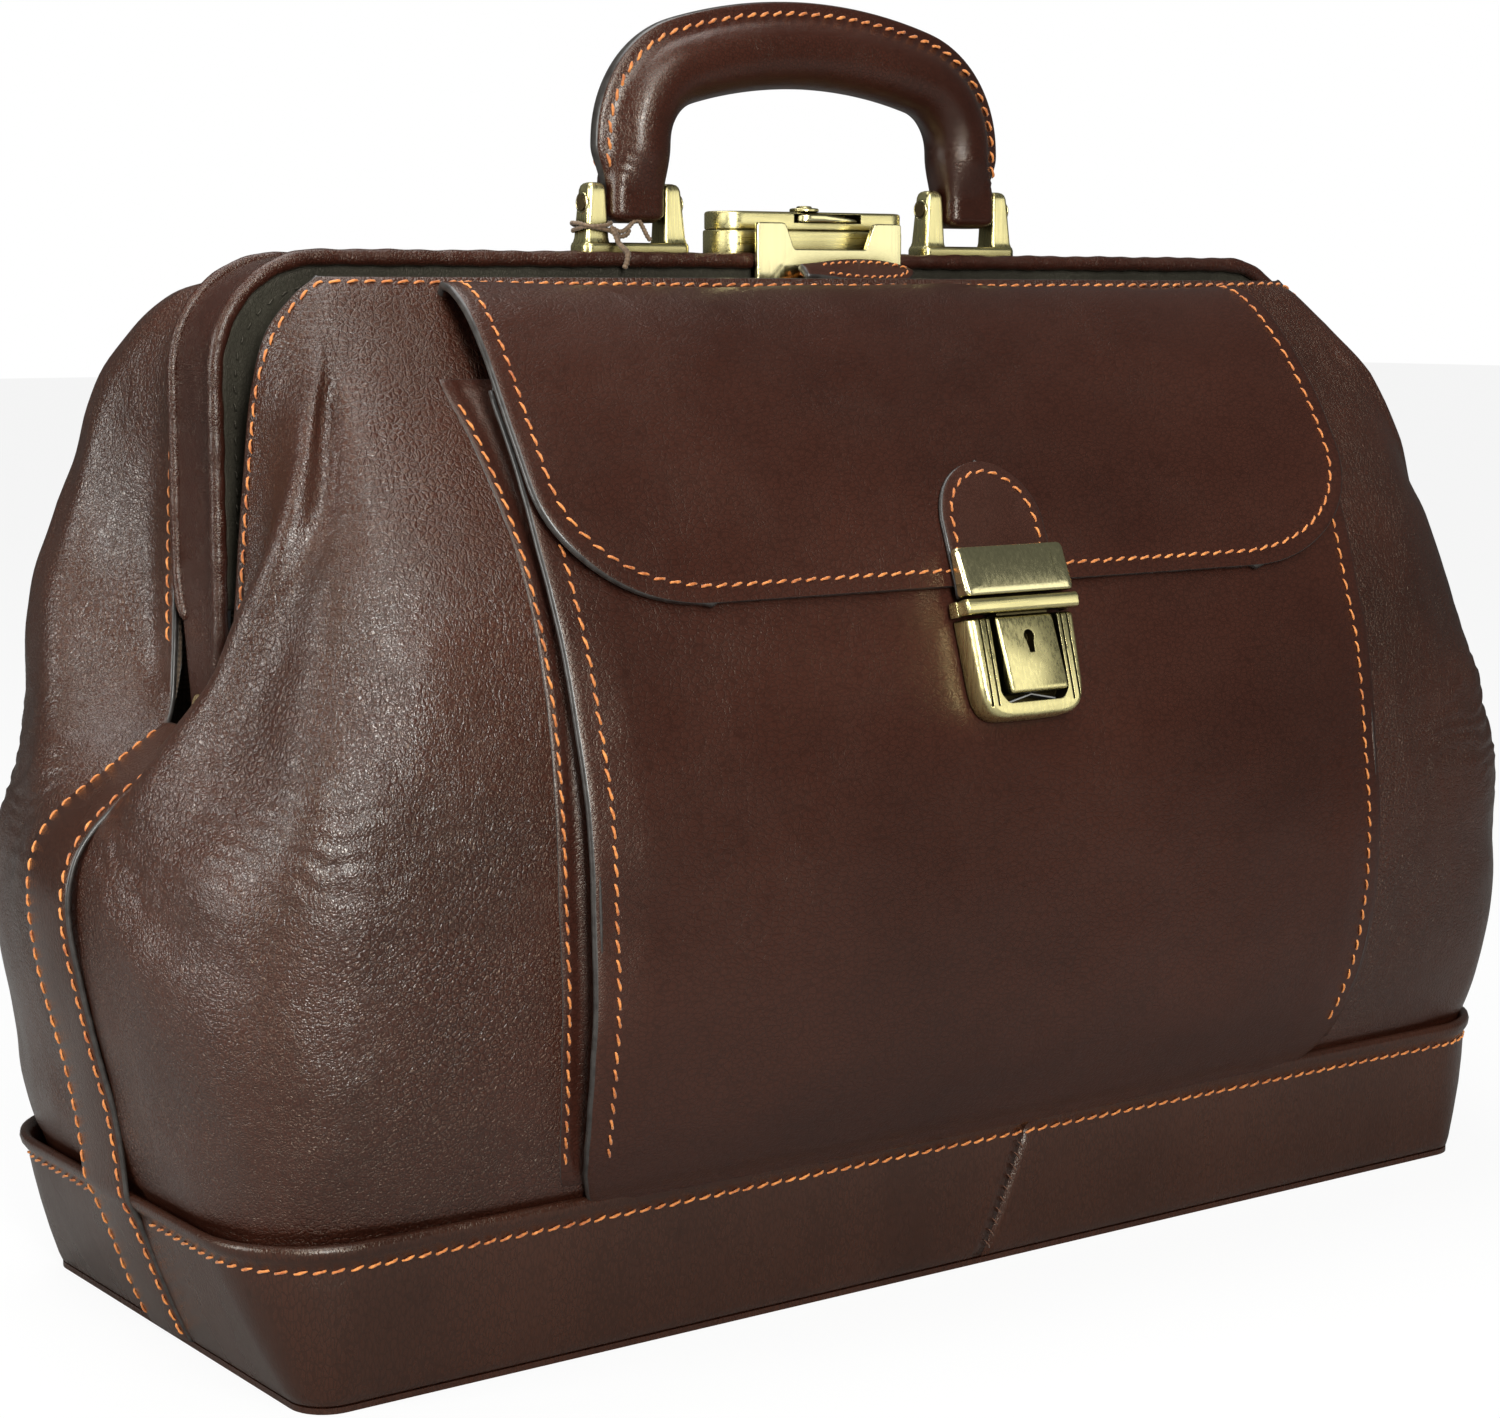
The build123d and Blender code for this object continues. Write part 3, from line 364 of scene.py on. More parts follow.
def smooth_curve(points, steps):
    """Centripetal Catmull-Rom curve through points; steps = samples per span."""

    def between(value, start, end, first, second):
        return (end - value) / (end - start) * first + (value - start) / (end - start) * second

    points = np.asarray(points, dtype=float)
    spans = len(points) - 1
    steps = [steps] * spans if isinstance(steps, int) else steps
    padded = np.vstack([2 * points[0] - points[1], points, 2 * points[-1] - points[-2]])
    curve = []
    for span in range(spans):
        near = padded[span:span + 4]
        knots = [0.0]
        for i in range(3):
            knots.append(knots[-1] + max(np.linalg.norm(near[i + 1] - near[i]), 1e-6) ** 0.5)
        for k in range(steps[span]):
            value = knots[1] + (knots[2] - knots[1]) * k / steps[span]
            lines = [between(value, knots[i], knots[i + 1], near[i], near[i + 1])
                     for i in range(3)]
            bends = [between(value, knots[i], knots[i + 2], lines[i], lines[i + 1])
                     for i in range(2)]
            curve.append(between(value, knots[1], knots[2], *bends))
    curve.append(points[-1])
    return np.array(curve)


def grid_normals(grid):
    return unit(np.cross(np.gradient(grid, axis=0), np.gradient(grid, axis=1)))


def outward_normals(grid, outward, probe=np.s_[:]):
    """Grid normals, turned so that those in the probed part point outward on average."""
    normals = grid_normals(grid)
    if np.mean(np.sum(normals[probe] * outward, axis=-1)) < 0:
        normals = -normals
    return normals


def sample_row(grid, values, row, x):
    """Values on one row of a grid, at the place where the grid's x is the one given."""
    order = np.argsort(grid[:, row, 0])
    return lookup(x, grid[order, row, 0], values[order, row])


def soft_noise(grid, scale, seed):
    """Soft smooth noise field over a grid."""
    field = np.zeros(grid.shape[:2])
    for i in range(grid.shape[0]):
        for j in range(grid.shape[1]):
            x, y, z = grid[i, j] * scale
            field[i, j] = noise.noise(Vector((x + seed, y, z)))
    return field


# ------------------------------------------------------------------- outlines
def round_rect(centre_x, centre_y, width, height, radius, steps=6):
    points = []
    radius = min(radius, width / 2 - 0.01, height / 2 - 0.01)
    for side_x, side_y, start in ((1, 1, 0), (-1, 1, 90), (-1, -1, 180), (1, -1, 270)):
        for k in range(steps + 1):
            angle = math.radians(start + 90 * k / steps)
            points.append((centre_x + side_x * (width / 2 - radius) + radius * math.cos(angle),
                           centre_y + side_y * (height / 2 - radius) + radius * math.sin(angle)))
    return points


def circle(centre_x, centre_y, radius, count=32):
    return [(centre_x + radius * math.cos(2 * math.pi * k / count),
             centre_y + radius * math.sin(2 * math.pi * k / count)) for k in range(count)]


def scaled(outline, centre, scale):
    return [(centre[0] + (x - centre[0]) * scale, centre[1] + (y - centre[1]) * scale)
            for x, y in outline]


def round_corners(outline, radius, steps=4):
    """Rounds every corner a little; radius is one value or one per corner."""
    points = []
    count = len(outline)
    for i in range(count):
        before, corner, after = (np.array(outline[k % count], float)
                                 for k in (i - 1, i, i + 1))
        reach = radius[i] if isinstance(radius, (list, tuple)) else radius
        reach = min(reach, 0.45 * np.linalg.norm(before - corner),
                    0.45 * np.linalg.norm(after - corner))
        start = corner + unit(before - corner) * reach
        end = corner + unit(after - corner) * reach
        for k in range(steps + 1):
            f = k / steps
            points.append(tuple((1 - f) ** 2 * start + 2 * f * (1 - f) * corner + f * f * end))
    return points


# --------------------------------------------------------------- mesh helpers
def add_object(name, mesh, body):
    ob = bpy.data.objects.new(name, mesh)
    bpy.context.scene.collection.objects.link(ob)
    if body:
        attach(ob, body)
    return ob


def smooth_faces(mesh):
    mesh.polygons.foreach_set("use_smooth", [True] * len(mesh.polygons))


def add_mesh(name, verts, faces, materials, body, index=None):
    """Makes a smooth object from millimetre points, with its normals facing out."""
    mesh = bpy.data.meshes.new(name)
    mesh.from_pydata((np.asarray(verts, dtype=float) * MM).tolist(), [], faces)
    for material in materials:
        mesh.materials.append(material)
    if index is not None:
        mesh.polygons.foreach_set("material_index", np.asarray(index, dtype=np.int32))
    mesh.update()
    mesh.validate()
    bm = bmesh.new()
    bm.from_mesh(mesh)
    bmesh.ops.recalc_face_normals(bm, faces=bm.faces)
    bm.to_mesh(mesh)
    bm.free()
    smooth_faces(mesh)
    return add_object(name, mesh, body)


def hard_edges(bm, angle):
    limit = math.radians(angle)
    return [e for e in bm.edges if len(e.link_faces) == 2 and e.calc_face_angle(0) > limit]


def sharp(ob, angle):
    """Smooth shading except across hard edges."""
    bm = bmesh.new()
    bm.from_mesh(ob.data)
    for edge in hard_edges(bm, angle):
        edge.smooth = False
    bm.to_mesh(ob.data)
    bm.free()
    return ob


def bevel(ob, width):
    bm = bmesh.new()
    bm.from_mesh(ob.data)
    bmesh.ops.bevel(bm, geom=hard_edges(bm, 32.0), offset=width * MM, segments=3, profile=0.5,
                    affect="EDGES", clamp_overlap=True)
    bmesh.ops.remove_doubles(bm, verts=bm.verts, dist=1e-7)
    bm.to_mesh(ob.data)
    bm.free()
    smooth_faces(ob.data)
    sharp(ob, 50.0)


def skin_faces(rings, around, start=0):
    """Faces of a closed skin over rings of equal length, with a cap at both ends."""
    faces = []
    for i in range(rings - 1):
        for j in range(around):
            here = start + i * around + j
            beside = start + i * around + (j + 1) % around
            faces.append((here, beside, beside + around, here + around))
    faces.append(tuple(start + j for j in range(around))[::-1])
    faces.append(tuple(start + (rings - 1) * around + j for j in range(around)))
    return faces


def loft(name, rings, materials, body, angle=40.0):
    """Solid skinned over closed rings of equal length."""
    faces = skin_faces(len(rings), len(rings[0]))
    ob = add_mesh(name, np.vstack(rings), faces, materials, body)
    return sharp(ob, angle)


def prism(name, outline, place, low, high, material, body, bevel_width):
    """Flat brass plate; place(x, y, height) sets the outline's points in space."""
    count = len(outline)
    verts = [place(x, y, height) for height in (low, high) for x, y in outline]
    faces = [tuple(range(count))[::-1], tuple(range(count, 2 * count))]
    faces += [(j, (j + 1) % count, (j + 1) % count + count, j + count) for j in range(count)]
    ob = add_mesh(name, verts, faces, [material], body)
    if bevel_width:
        bevel(ob, bevel_width)
    return ob


def flat(x, y, height):
    return x, y, height


def upright(x, z, depth):
    return x, depth, z


def cut(ob, outline, low, high, place, body=ROOT):
    """Cuts a prism out of an object."""
    tool = prism("cut", outline, place, low, high, BRASS_PAINTED_SHADE, body, 0.0)
    modifier = ob.modifiers.new("cut", "BOOLEAN")
    modifier.operation = "DIFFERENCE"
    modifier.solver = "EXACT"
    modifier.object = tool
    graph = bpy.context.evaluated_depsgraph_get()
    result = bpy.data.meshes.new_from_object(ob.evaluated_get(graph))
    ob.modifiers.clear()
    ob.data = result
    bpy.data.objects.remove(tool, do_unlink=True)


def tube(name, path, radius, around, material, body, up=(0, 1, 0)):
    path = np.asarray(path, dtype=float)
    radii = np.broadcast_to(radius, len(path))
    verts = []
    for point, along, reach in zip(path, unit(np.gradient(path, axis=0)), radii):
        side = np.cross(along, up)
        if np.linalg.norm(side) < 1e-3:
            side = np.cross(along, (1, 0, 0))
        side = unit(side)
        top = np.cross(side, along)
        for j in range(around):
            angle = 2 * math.pi * j / around
            verts.append(point + (side * math.cos(angle) + top * math.sin(angle)) * reach)
    return add_mesh(name, verts, skin_faces(len(path), around), [material], body)


def join(name, parts, body):
    """Joins meshes into one new object and removes the parts."""
    bm = bmesh.new()
    mesh = bpy.data.meshes.new(name)
    materials = []
    for part in parts:
        for material in part.data.materials:
            if material not in materials:
                materials.append(material)
                mesh.materials.append(material)
    for part in parts:
        remap = [materials.index(material) for material in part.data.materials]
        start = len(bm.faces)
        bm.from_mesh(part.data)
        bm.faces.ensure_lookup_table()
        for face in bm.faces[start:]:
            face.material_index = remap[face.material_index]
    bm.to_mesh(mesh)
    bm.free()
    for part in parts:
        old = part.data
        bpy.data.objects.remove(part)
        bpy.data.meshes.remove(old)
    return add_object(name, mesh, body)


def sheet(name, grid, thick, materials, body, outward, replaces=(), round_rim=0.42,
          probe=np.s_[:]):
    """Closed leather sheet from a grid: outer face, inner face and a rounded painted rim.

    Returns the object and the outward normals of the grid.
    """
    columns, rows = grid.shape[:2]
    normals = outward_normals(grid, outward, probe)
    outer = grid.reshape(-1, 3)
    inner = (grid - normals * thick).reshape(-1, 3)
    ids = np.arange(columns * rows).reshape(columns, rows)
    quads = np.stack([ids[:-1, :-1], ids[1:, :-1], ids[1:, 1:], ids[:-1, 1:]],
                     axis=-1).reshape(-1, 4)
    offset = columns * rows
    faces = [quads, quads[:, ::-1] + offset]
    rim = np.concatenate([ids[:, 0], ids[-1, 1:], ids[-2::-1, -1], ids[0, -2:0:-1]])
    # outward direction at the rim, in the sheet's own plane
    off_rows = np.zeros_like(grid)
    off_rows[:, 0] = grid[:, 0] - grid[:, 1]
    off_rows[:, -1] = grid[:, -1] - grid[:, -2]
    off_columns = np.zeros_like(grid)
    off_columns[0] = grid[0] - grid[1]
    off_columns[-1] = grid[-1] - grid[-2]
    away = unit(unit(off_rows) + unit(off_columns)).reshape(-1, 3)
    rings = [outer[rim] * (1 - f) + inner[rim] * f + away[rim] * thick * round_rim * out * 2
             for f, out in ((0.18, 0.30), (0.5, 0.5), (0.82, 0.30))]
    count = len(rim)
    loops = [rim, *(2 * offset + k * count + np.arange(count) for k in range(3)), rim + offset]
    for one, other in zip(loops, loops[1:]):
        faces.append(np.stack([one, other, np.roll(other, -1), np.roll(one, -1)], axis=-1))
    index = np.concatenate([np.zeros(2 * len(quads), int), np.ones(4 * count, int)])
    ob = add_mesh(name, np.vstack([outer, inner] + rings), np.vstack(faces).tolist(), materials,
                  body, index)
    if replaces:
        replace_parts(ob, *replaces)
    return ob, normals


STITCH_RINGS, STITCH_AROUND = 7, 8


def sew(name, points, normals, body, step=2.0, pitch=4.5, length=3.8, radius=0.36, lean=10.0,
        lift=0.12, material=ORANGE_THREAD):
    """A row of separate two-ply stitches along points lying on a surface.

    step is the spacing of the smoothed path, pitch that of the stitches; lean is in degrees.
    """
    points = np.asarray(points, dtype=float)
    normals = np.broadcast_to(np.asarray(normals, dtype=float), points.shape)
    places = arc_lengths(points)
    where = np.linspace(0, places[-1], max(2, int(places[-1] / step)))
    path = relax(lookup(where, places, points), 2)
    path_rows = np.hstack([path, unit(lookup(where, places, normals))])
    places = arc_lengths(path)
    total = places[-1]

    def at(distance):
        return lookup(min(max(distance, 0), total), places, path_rows)

    count = max(1, int(total // pitch))
    gap = total / count
    verts, faces = [], []
    for k in range(count):
        middle = (k + 0.5) * gap
        jitter = random.uniform(-0.12, 0.12)
        normal = unit(at(middle)[3:])
        along = unit(at(middle + length / 2)[:3] - at(middle - length / 2)[:3])
        across = unit(np.cross(normal, along))
        tilt = math.radians(lean + random.uniform(-2.5, 2.5))
        faces += skin_faces(STITCH_RINGS, STITCH_AROUND, len(verts))
        for i in range(STITCH_RINGS):
            f = i / (STITCH_RINGS - 1)
            offset = f - 0.5
            here = at(middle + offset * length + jitter)
            rise = lift + 0.22 * (1 - (2 * offset) ** 2) - 0.55 * (abs(2 * offset) ** 6)
            centre = (here[:3] + across * math.tan(tilt) * offset * length
                      + unit(here[3:]) * rise)
            fat = radius * (1 - 0.45 * abs(2 * offset) ** 3)
            spin = f * math.pi * 1.6 + k
            for j in range(STITCH_AROUND):
                angle = 2 * math.pi * j / STITCH_AROUND
                ply = fat * (1 + 0.24 * math.cos(2 * (angle - spin)))
                verts.append(centre + across * math.cos(angle) * ply
                             + normal * math.sin(angle) * ply * 0.85)
    mesh = bpy.data.meshes.new(name)
    mesh.from_pydata((np.array(verts) * MM).tolist(), [], faces)
    mesh.materials.append(material)
    mesh.update()
    smooth_faces(mesh)
    return add_object(name, mesh, body)


# ------------------------------------------------------------------ soft body
# Plan sections of one quarter of the bag.  Each row: height, then (x, y) distances from the
# centre planes at the seam, valley, ear ridge, hollow, corner, start of the flat and centre.
FRONT_SECTIONS = [
    (24, (206.4, .3), (206.4, 28), (205.6, 48), (201, 63), (192, 71), (176, 75.0), (0, 75.4)),
    (41.8, (212.0, .3), (212.0, 28), (211.2, 48), (206, 64.5), (197, 72.8), (180, 77.0), (0, 77.3)),
    (45.5, (214.2, .3), (214.2, 27), (213.2, 47), (207.6, 65), (198.2, 74.2), (181.5, 79.4),
     (0, 79.8)),
    (56, (217.0, .3), (217.2, 27), (215.6, 47), (209.5, 66.5), (199.5, 77.5), (182, 82.8),
     (0, 83.2)),
    (70, (219.4, .3), (219.9, 26), (218.2, 46), (211.5, 67), (200.5, 79.5), (182, 85.5), (0, 86)),
    (90, (224.0, .3), (224.6, 25), (222, 45), (214, 68), (202, 81), (182, 87.6), (0, 88.2)),
    (108, (227.0, .3), (227.2, 24), (224, 43), (215, 67.5), (202, 81), (181.5, 88.0), (0, 88.8)),
    (122, (226.8, .3), (227.0, 21), (224, 38), (214.5, 66), (201.5, 80.5), (180.5, 87.8),
     (0, 88.6)),
    (132, (221.8, .3), (223.6, 15.5), (221.6, 31), (212.8, 63), (200.5, 79.2), (179.5, 87.0),
     (0, 88.0)),
    (140, (212.2, 1.5), (217.4, 14), (219.0, 26), (210.5, 60), (199, 78), (178.3, 86.2), (0, 87.4)),
    (148, (199.6, 6), (208.0, 14), (215.4, 28), (207.4, 57), (197, 76), (177, 85.0), (0, 86.1)),
    (158, (190.2, 13), (196.5, 21), (209.6, 33), (203.4, 54), (194.5, 73), (175, 83), (0, 84.2)),
    (171, (187.6, 16), (189.4, 26.5), (203.0, 39.5), (197.6, 53), (191, 69), (172.5, 80),
     (0, 81.2)),
    (187, (186.0, 17.2), (186.4, 29), (196.2, 43.5), (190.8, 54), (186, 65), (169.5, 75.5),
     (0, 76.8)),
    (202, (185.2, 18.2), (184.8, 31), (189.8, 47), (184.4, 54), (180.5, 61), (166, 69.8), (0, 71)),
    (220, (184, 19.5), (182.6, 32), (182.6, 47.5), (177.4, 50.5), (173.6, 54.2), (162.5, 59.4),
     (0, 60.6)),
    (240, (182.3, 21), (180.2, 30), (175.4, 41.4), (172.0, 41.8), (168.0, 43.6), (158, 46.2),
     (0, 47.0)),
    (255, (178.3, 22.5), (175, 27.5), (169.5, 32.5), (167, 33.6), (163, 34.8), (153, 36.4),
     (0, 37)),
    (264, (171, 23.8), (168, 26.5), (163.5, 28.8), (161, 29.4), (157, 30), (148, 30.8), (0, 31)),
    (268, (165.5, 24.4), (162.5, 25.3), (158, 26.2), (155, 26.6), (151, 27), (143, 27.6), (0, 28)),
]
# The rear half is the same up to the widest part
REAR_SECTIONS = FRONT_SECTIONS[:7] + [
    (122, (226.8, .3), (227.0, 21), (224, 38), (214.5, 66), (201.5, 80.2), (180.5, 87.6),
     (0, 88.4)),
    (132, (221.8, .3), (223.6, 15.5), (221.8, 31), (213.4, 64), (201.2, 80), (180, 87.4),
     (0, 88.4)),
    (140, (212.2, 1.5), (217.4, 14), (219.4, 27), (211.8, 62), (200.7, 79.5), (179.5, 87.0),
     (0, 88.1)),
    (148, (199.6, 6), (208.0, 14), (216.2, 29.5), (210, 61), (199.7, 79), (179, 86.4), (0, 87.6)),
    (158, (190.2, 13), (197.8, 21), (211.6, 36), (208.6, 61), (198.7, 78), (178, 85.4), (0, 86.6)),
    (171, (187.6, 16.4), (191.0, 28), (207.6, 43), (206.8, 63), (198, 76.4), (177, 83.4),
     (0, 84.6)),
    (187, (186.4, 17), (188.6, 31), (203.6, 50), (204.0, 66), (196, 74.6), (175, 80), (0, 81.2)),
    (202, (185.8, 17.2), (186.8, 32), (198.6, 53), (199.4, 66.5), (191.4, 71.8), (172, 75.4),
     (0, 76.4)),
    (220, (184.8, 17.5), (185.4, 31), (192.6, 53), (193.0, 64), (185.4, 67), (167.5, 68.4),
     (0, 69)),
    (240, (182.6, 18), (182.6, 28), (187.0, 50), (186.6, 60), (178.8, 62.6), (163, 61.8), (0, 61)),
    (255, (178.5, 18.4), (178.8, 27), (181.6, 42), (179.8, 50.4), (173, 52), (159, 51), (0, 50)),
    (264, (171, 19), (172.0, 25.5), (174.6, 36), (172.4, 41.6), (166, 42.4), (152, 41), (0, 40)),
    (268, (165.5, 19.5), (165.6, 23), (165.6, 28), (162.8, 30.4), (158, 31), (146, 30), (0, 29.5)),
]
ROW_STEPS = 7
SECTION_STEPS = [12, 14, 12, 12, 12, 34]
# The front half sags to the right: how far by height, and the share of each section point
BULGE_HEIGHTS = [140, 150, 171, 187, 202, 220, 240, 255, 264, 268]
BULGE_AMOUNTS = [2.5, 5.0, 5.0, 6.5, 8.0, 9.0, 8.5, 5.5, 2.5, 0]
BULGE_SHARES = [0.35, 0.8, 1.0, 1.0, 0.55, 0.0]
BULGE_X, BULGE_Y = 0.811, 0.585

# Folds of one quarter: points (x, y, z) of a line, its heights and its widths.  Negative
# heights are hollows.  CREST and PINCH have a front and a rear line.
CREST_LINES = {
    -1: [(172.5, 42, 244), (176, 42.5, 238), (182.5, 47, 220), (189.6, 47, 202), (196.2, 43, 187),
         (203, 39, 171), (210, 33, 157), (216, 28, 146), (222, 22, 134)],
    1: [(181, 44, 252), (187, 50, 240), (192.6, 53, 220), (198.6, 53, 202), (203.6, 50, 187),
        (207.6, 43, 171), (212, 35, 157), (217, 29, 146), (222, 22, 134)],
}
CREST_SHAPE = [0.3, 1.6, 1.9, 2.1, 1.6, 0.4], [4.0, 4.2, 5.0, 6.5, 9.0, 12.0]
PINCH_LINES = {
    -1: [(170, 43.5, 246), (173, 44, 238), (176.5, 47.5, 228), (180, 52, 212), (184, 55, 196)],
    1: [(176, 55, 250), (181, 60, 240), (187, 64, 225), (192, 66, 208)],
}
PINCH_SHAPE = [-1.4, -3.4, -3.2, -2.0, -0.6], [2.6, 3.4, 4.6, 7.0, 10.0]
SHARED_FOLDS = [
    # valley beside the seam
    ([(181, 27, 236), (183.5, 29, 220), (185, 30, 202), (187, 28, 186), (190.5, 25, 170),
      (198, 20, 157)], [-0.3, -1.0, -1.6, -2.0, -1.6, -0.3], [6, 7, 7, 7, 7, 8]),
    # soft slumps that run from the shoulder into the side and the corner
    ([(214, 30, 142), (214, 42, 132), (212, 58, 126), (205, 74, 124)],
     [1.1, 1.5, 1.0, 0.2], [6, 8, 9, 12]),
    ([(220, 24, 128), (219, 38, 120), (215, 56, 113), (208, 74, 108)],
     [-0.8, -1.2, -0.9, -0.2], [6, 7, 8, 10]),
    ([(222, 26, 116), (221, 40, 106), (217, 60, 98)], [0.6, 1.0, 0.3], [7, 8, 10]),
    ([(203, 52, 170), (200, 62, 150), (203, 70, 128)], [-0.7, -1.2, -0.3], [7, 9, 12]),
    ([(189, 66, 196), (194, 70, 172), (198, 76, 146)], [0.9, 1.4, 0.6], [8, 11, 14]),
    ([(213, 30, 58), (209, 52, 66), (203, 74, 60)], [0.5, 0.8, 0.3], [8, 10, 10]),
]


def section_rows(sections):
    """The section table as flat rows, interpolated smoothly in height."""
    rows = [[z] + [c for point in points for c in point] for z, *points in sections]
    return smooth_curve(rows, ROW_STEPS)


def body_grid(sections, side_y, lopsided):
    """Grid of a half body: columns from the left seam to the right one, rows upward."""
    rows = []
    for row in section_rows(sections):
        z = row[0]
        points = row[1:].reshape(-1, 2)
        left = [(-x, y) for x, y in points]
        right = [(x, y) for x, y in points[:-1][::-1]]
        if lopsided:
            bulge = float(np.interp(z, BULGE_HEIGHTS, BULGE_AMOUNTS))
            right = [(x + BULGE_X * bulge * share, y + BULGE_Y * bulge * share)
                     for (x, y), share in zip(right, BULGE_SHARES)]
        curve = smooth_curve(left + right, SECTION_STEPS + SECTION_STEPS[::-1])
        rows.append(np.column_stack([curve[:, 0], curve[:, 1] * side_y, np.full(len(curve), z)]))
    return np.array(rows).transpose(1, 0, 2)


def from_inside(grid, side_y):
    """Directions from the middle of a half bag to its grid points."""
    return grid - np.array([0, side_y * 30.0, 120.0])


def ridge(grid, normals, line, heights, widths):
    """Movement that raises a rounded ridge along a line near the grid."""
    line = resample(smooth_curve(line, 8), 60)
    flat_grid = grid.reshape(-1, 3)
    nearest = np.full(len(flat_grid), 1e9)
    along = np.zeros(len(flat_grid))
    for i, point in enumerate(line):
        distance = np.linalg.norm(flat_grid - point, axis=1)
        closer = distance < nearest
        nearest[closer] = distance[closer]
        along[closer] = i / (len(line) - 1)
    height = np.interp(along, np.linspace(0, 1, len(heights)), heights)
    width = np.interp(along, np.linspace(0, 1, len(widths)), widths)
    rise = (height * np.exp(-(nearest / width) ** 2)).reshape(grid.shape[:2])
    return normals * rise[..., None]


def fold_body(grid, side_y):
    """Adds the folds, slumps and creases of soft leather to a half body."""
    normals = outward_normals(grid, from_inside(grid, side_y))
    z = grid[..., 2]
    move = np.zeros_like(grid)
    folds = [(CREST_LINES[side_y], *CREST_SHAPE), (PINCH_LINES[side_y], *PINCH_SHAPE)]
    for side_x in (-1, 1):
        # the front left quarter is folded most
        strength = 1.0 if (side_x, side_y) == (-1, -1) else 0.8
        for line, heights, widths in folds + SHARED_FOLDS:
            placed = np.array(line, float) * (side_x, side_y, 1)
            move += ridge(grid, normals, placed, heights, widths) * strength
    side = np.clip((np.abs(grid[..., 0]) - 150) / 45, 0, 1)
    free = np.clip((z - 44) / 14, 0, 1) * np.clip((262 - z) / 16, 0, 1)
    off_strip = np.clip((np.abs(grid[..., 1]) - 12) / 8, 0, 1)
    wobble = (soft_noise(grid, 1 / 34.0, 3.1 + side_y) * 1.5
              + soft_noise(grid, 1 / 13.0, 9.7 + side_y) * 0.42)
    move += normals * (wobble * (0.3 + 0.7 * side) * free * off_strip)[..., None]
    # fine creases where the leather is crushed under the shoulder
    crush = np.exp(-((z - 136) / 26) ** 2) * side * off_strip
    lines = np.sin((z + 0.35 * np.abs(grid[..., 1])) * 1.15
                   + soft_noise(grid, 1 / 9.0, 5.0) * 5.0)
    move += normals * (lines * 0.28 * crush)[..., None]
    # sewn edges and the part behind the base band stay put
    freedom = np.ones(z.shape)
    freedom[0, :] = 0
    freedom[-1, :] = 0
    freedom[:, -1] = 0
    freedom[1, :] = freedom[-2, :] = 0.35
    freedom[:, -2] = 0.5
    freedom[z < 43] = 0
    freedom = freedom * np.clip((z - 42) / 6, 0, 1)
    return grid + move * freedom[..., None]


FRONT_GRID = fold_body(body_grid(FRONT_SECTIONS, -1, True), -1)
REAR_GRID = fold_body(body_grid(REAR_SECTIONS, 1, False), 1)


def body_sheet(name, grid, thick, materials, side_y, node):
    body = ROOT if side_y < 0 else None
    ob, normals = sheet(name, grid, thick, materials, body, from_inside(grid, side_y),
                        replaces=(node,))
    if side_y > 0:
        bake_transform(ob)
    return normals


def body_lining(name, grid, normals, side_y, node):
    inside = (grid - normals * 2.5)[2:-2, :-6][::2, ::2]
    body_sheet(name, inside, 0.8, [LINING, LINING], side_y, node)


FRONT_NORMALS = body_sheet("front_body_skin", FRONT_GRID, 1.7, [BODY_LEATHER, EDGE_PAINT],
                           -1, "front_body_leather")
REAR_NORMALS = body_sheet("rear_body_skin", REAR_GRID, 1.7, [BODY_LEATHER, EDGE_PAINT],
                          1, "rear_body_leather")
body_lining("front_lining_cloth", FRONT_GRID, FRONT_NORMALS, -1, "front_lining")
body_lining("rear_lining_cloth", REAR_GRID, REAR_NORMALS, 1, "rear_lining")


def base_lining():
    """Lining on the floor board; each row is a height and an inset."""
    length, depth = 384, 136
    rings = [[(x, y, z) for x, y in round_rect(0, 0, length - 2 * inset, depth - 2 * inset, 12, 8)]
             for z, inset in ((4.85, 1.0), (4.75, 0.0), (5.6, -0.2), (6.2, 0.4), (6.25, 3.0),
                              (6.0, 30.0))]
    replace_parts(loft("base_lining_cloth", rings, [LINING], ROOT), "base_lining")


base_lining()


def sew_body_edge(name, sections, grid, normals, body):
    """Stitches inside a half body's edge: up the left leg, over the top, down the right."""
    columns, rows = grid.shape[:2]
    first = int(np.argmin(np.abs(section_rows(sections)[:, 0] - 176)))
    # pairs of a point on the edge and its inner neighbour
    pairs = ([((0, j), (1, j)) for j in range(first, rows - 3)]
             + [((i, -1), (i, -2)) for i in range(4, columns - 4)]
             + [((-1, j), (-2, j)) for j in range(rows - 4, first - 1, -1)])
    points = [grid[edge] + unit(grid[inner] - grid[edge]) * 2.4 for edge, inner in pairs]
    return sew(name, points, [normals[inner] for _, inner in pairs], body)


sew_body_edge("stitch_front_panel_edge", FRONT_SECTIONS, FRONT_GRID, FRONT_NORMALS, ROOT)
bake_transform(sew_body_edge("stitch_rear_panel_edge", REAR_SECTIONS, REAR_GRID, REAR_NORMALS, None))

# ------------------------------------------------------------------ base band
BAND_LOW, BAND_RISE = 1.5, 40.0
BAND_SEAM_X, BAND_SEAM_SLOPE, BAND_SEAM_GAP = 5.4, 0.35, 0.12
BAND_LENGTH, BAND_DEPTH, BAND_RADIUS = 400, 152, 10
BAND_LENGTH_GROWTH, BAND_DEPTH_GROWTH, BAND_RADIUS_GROWTH = 30, 8, 20
BAND_STITCH_Z = 36.0
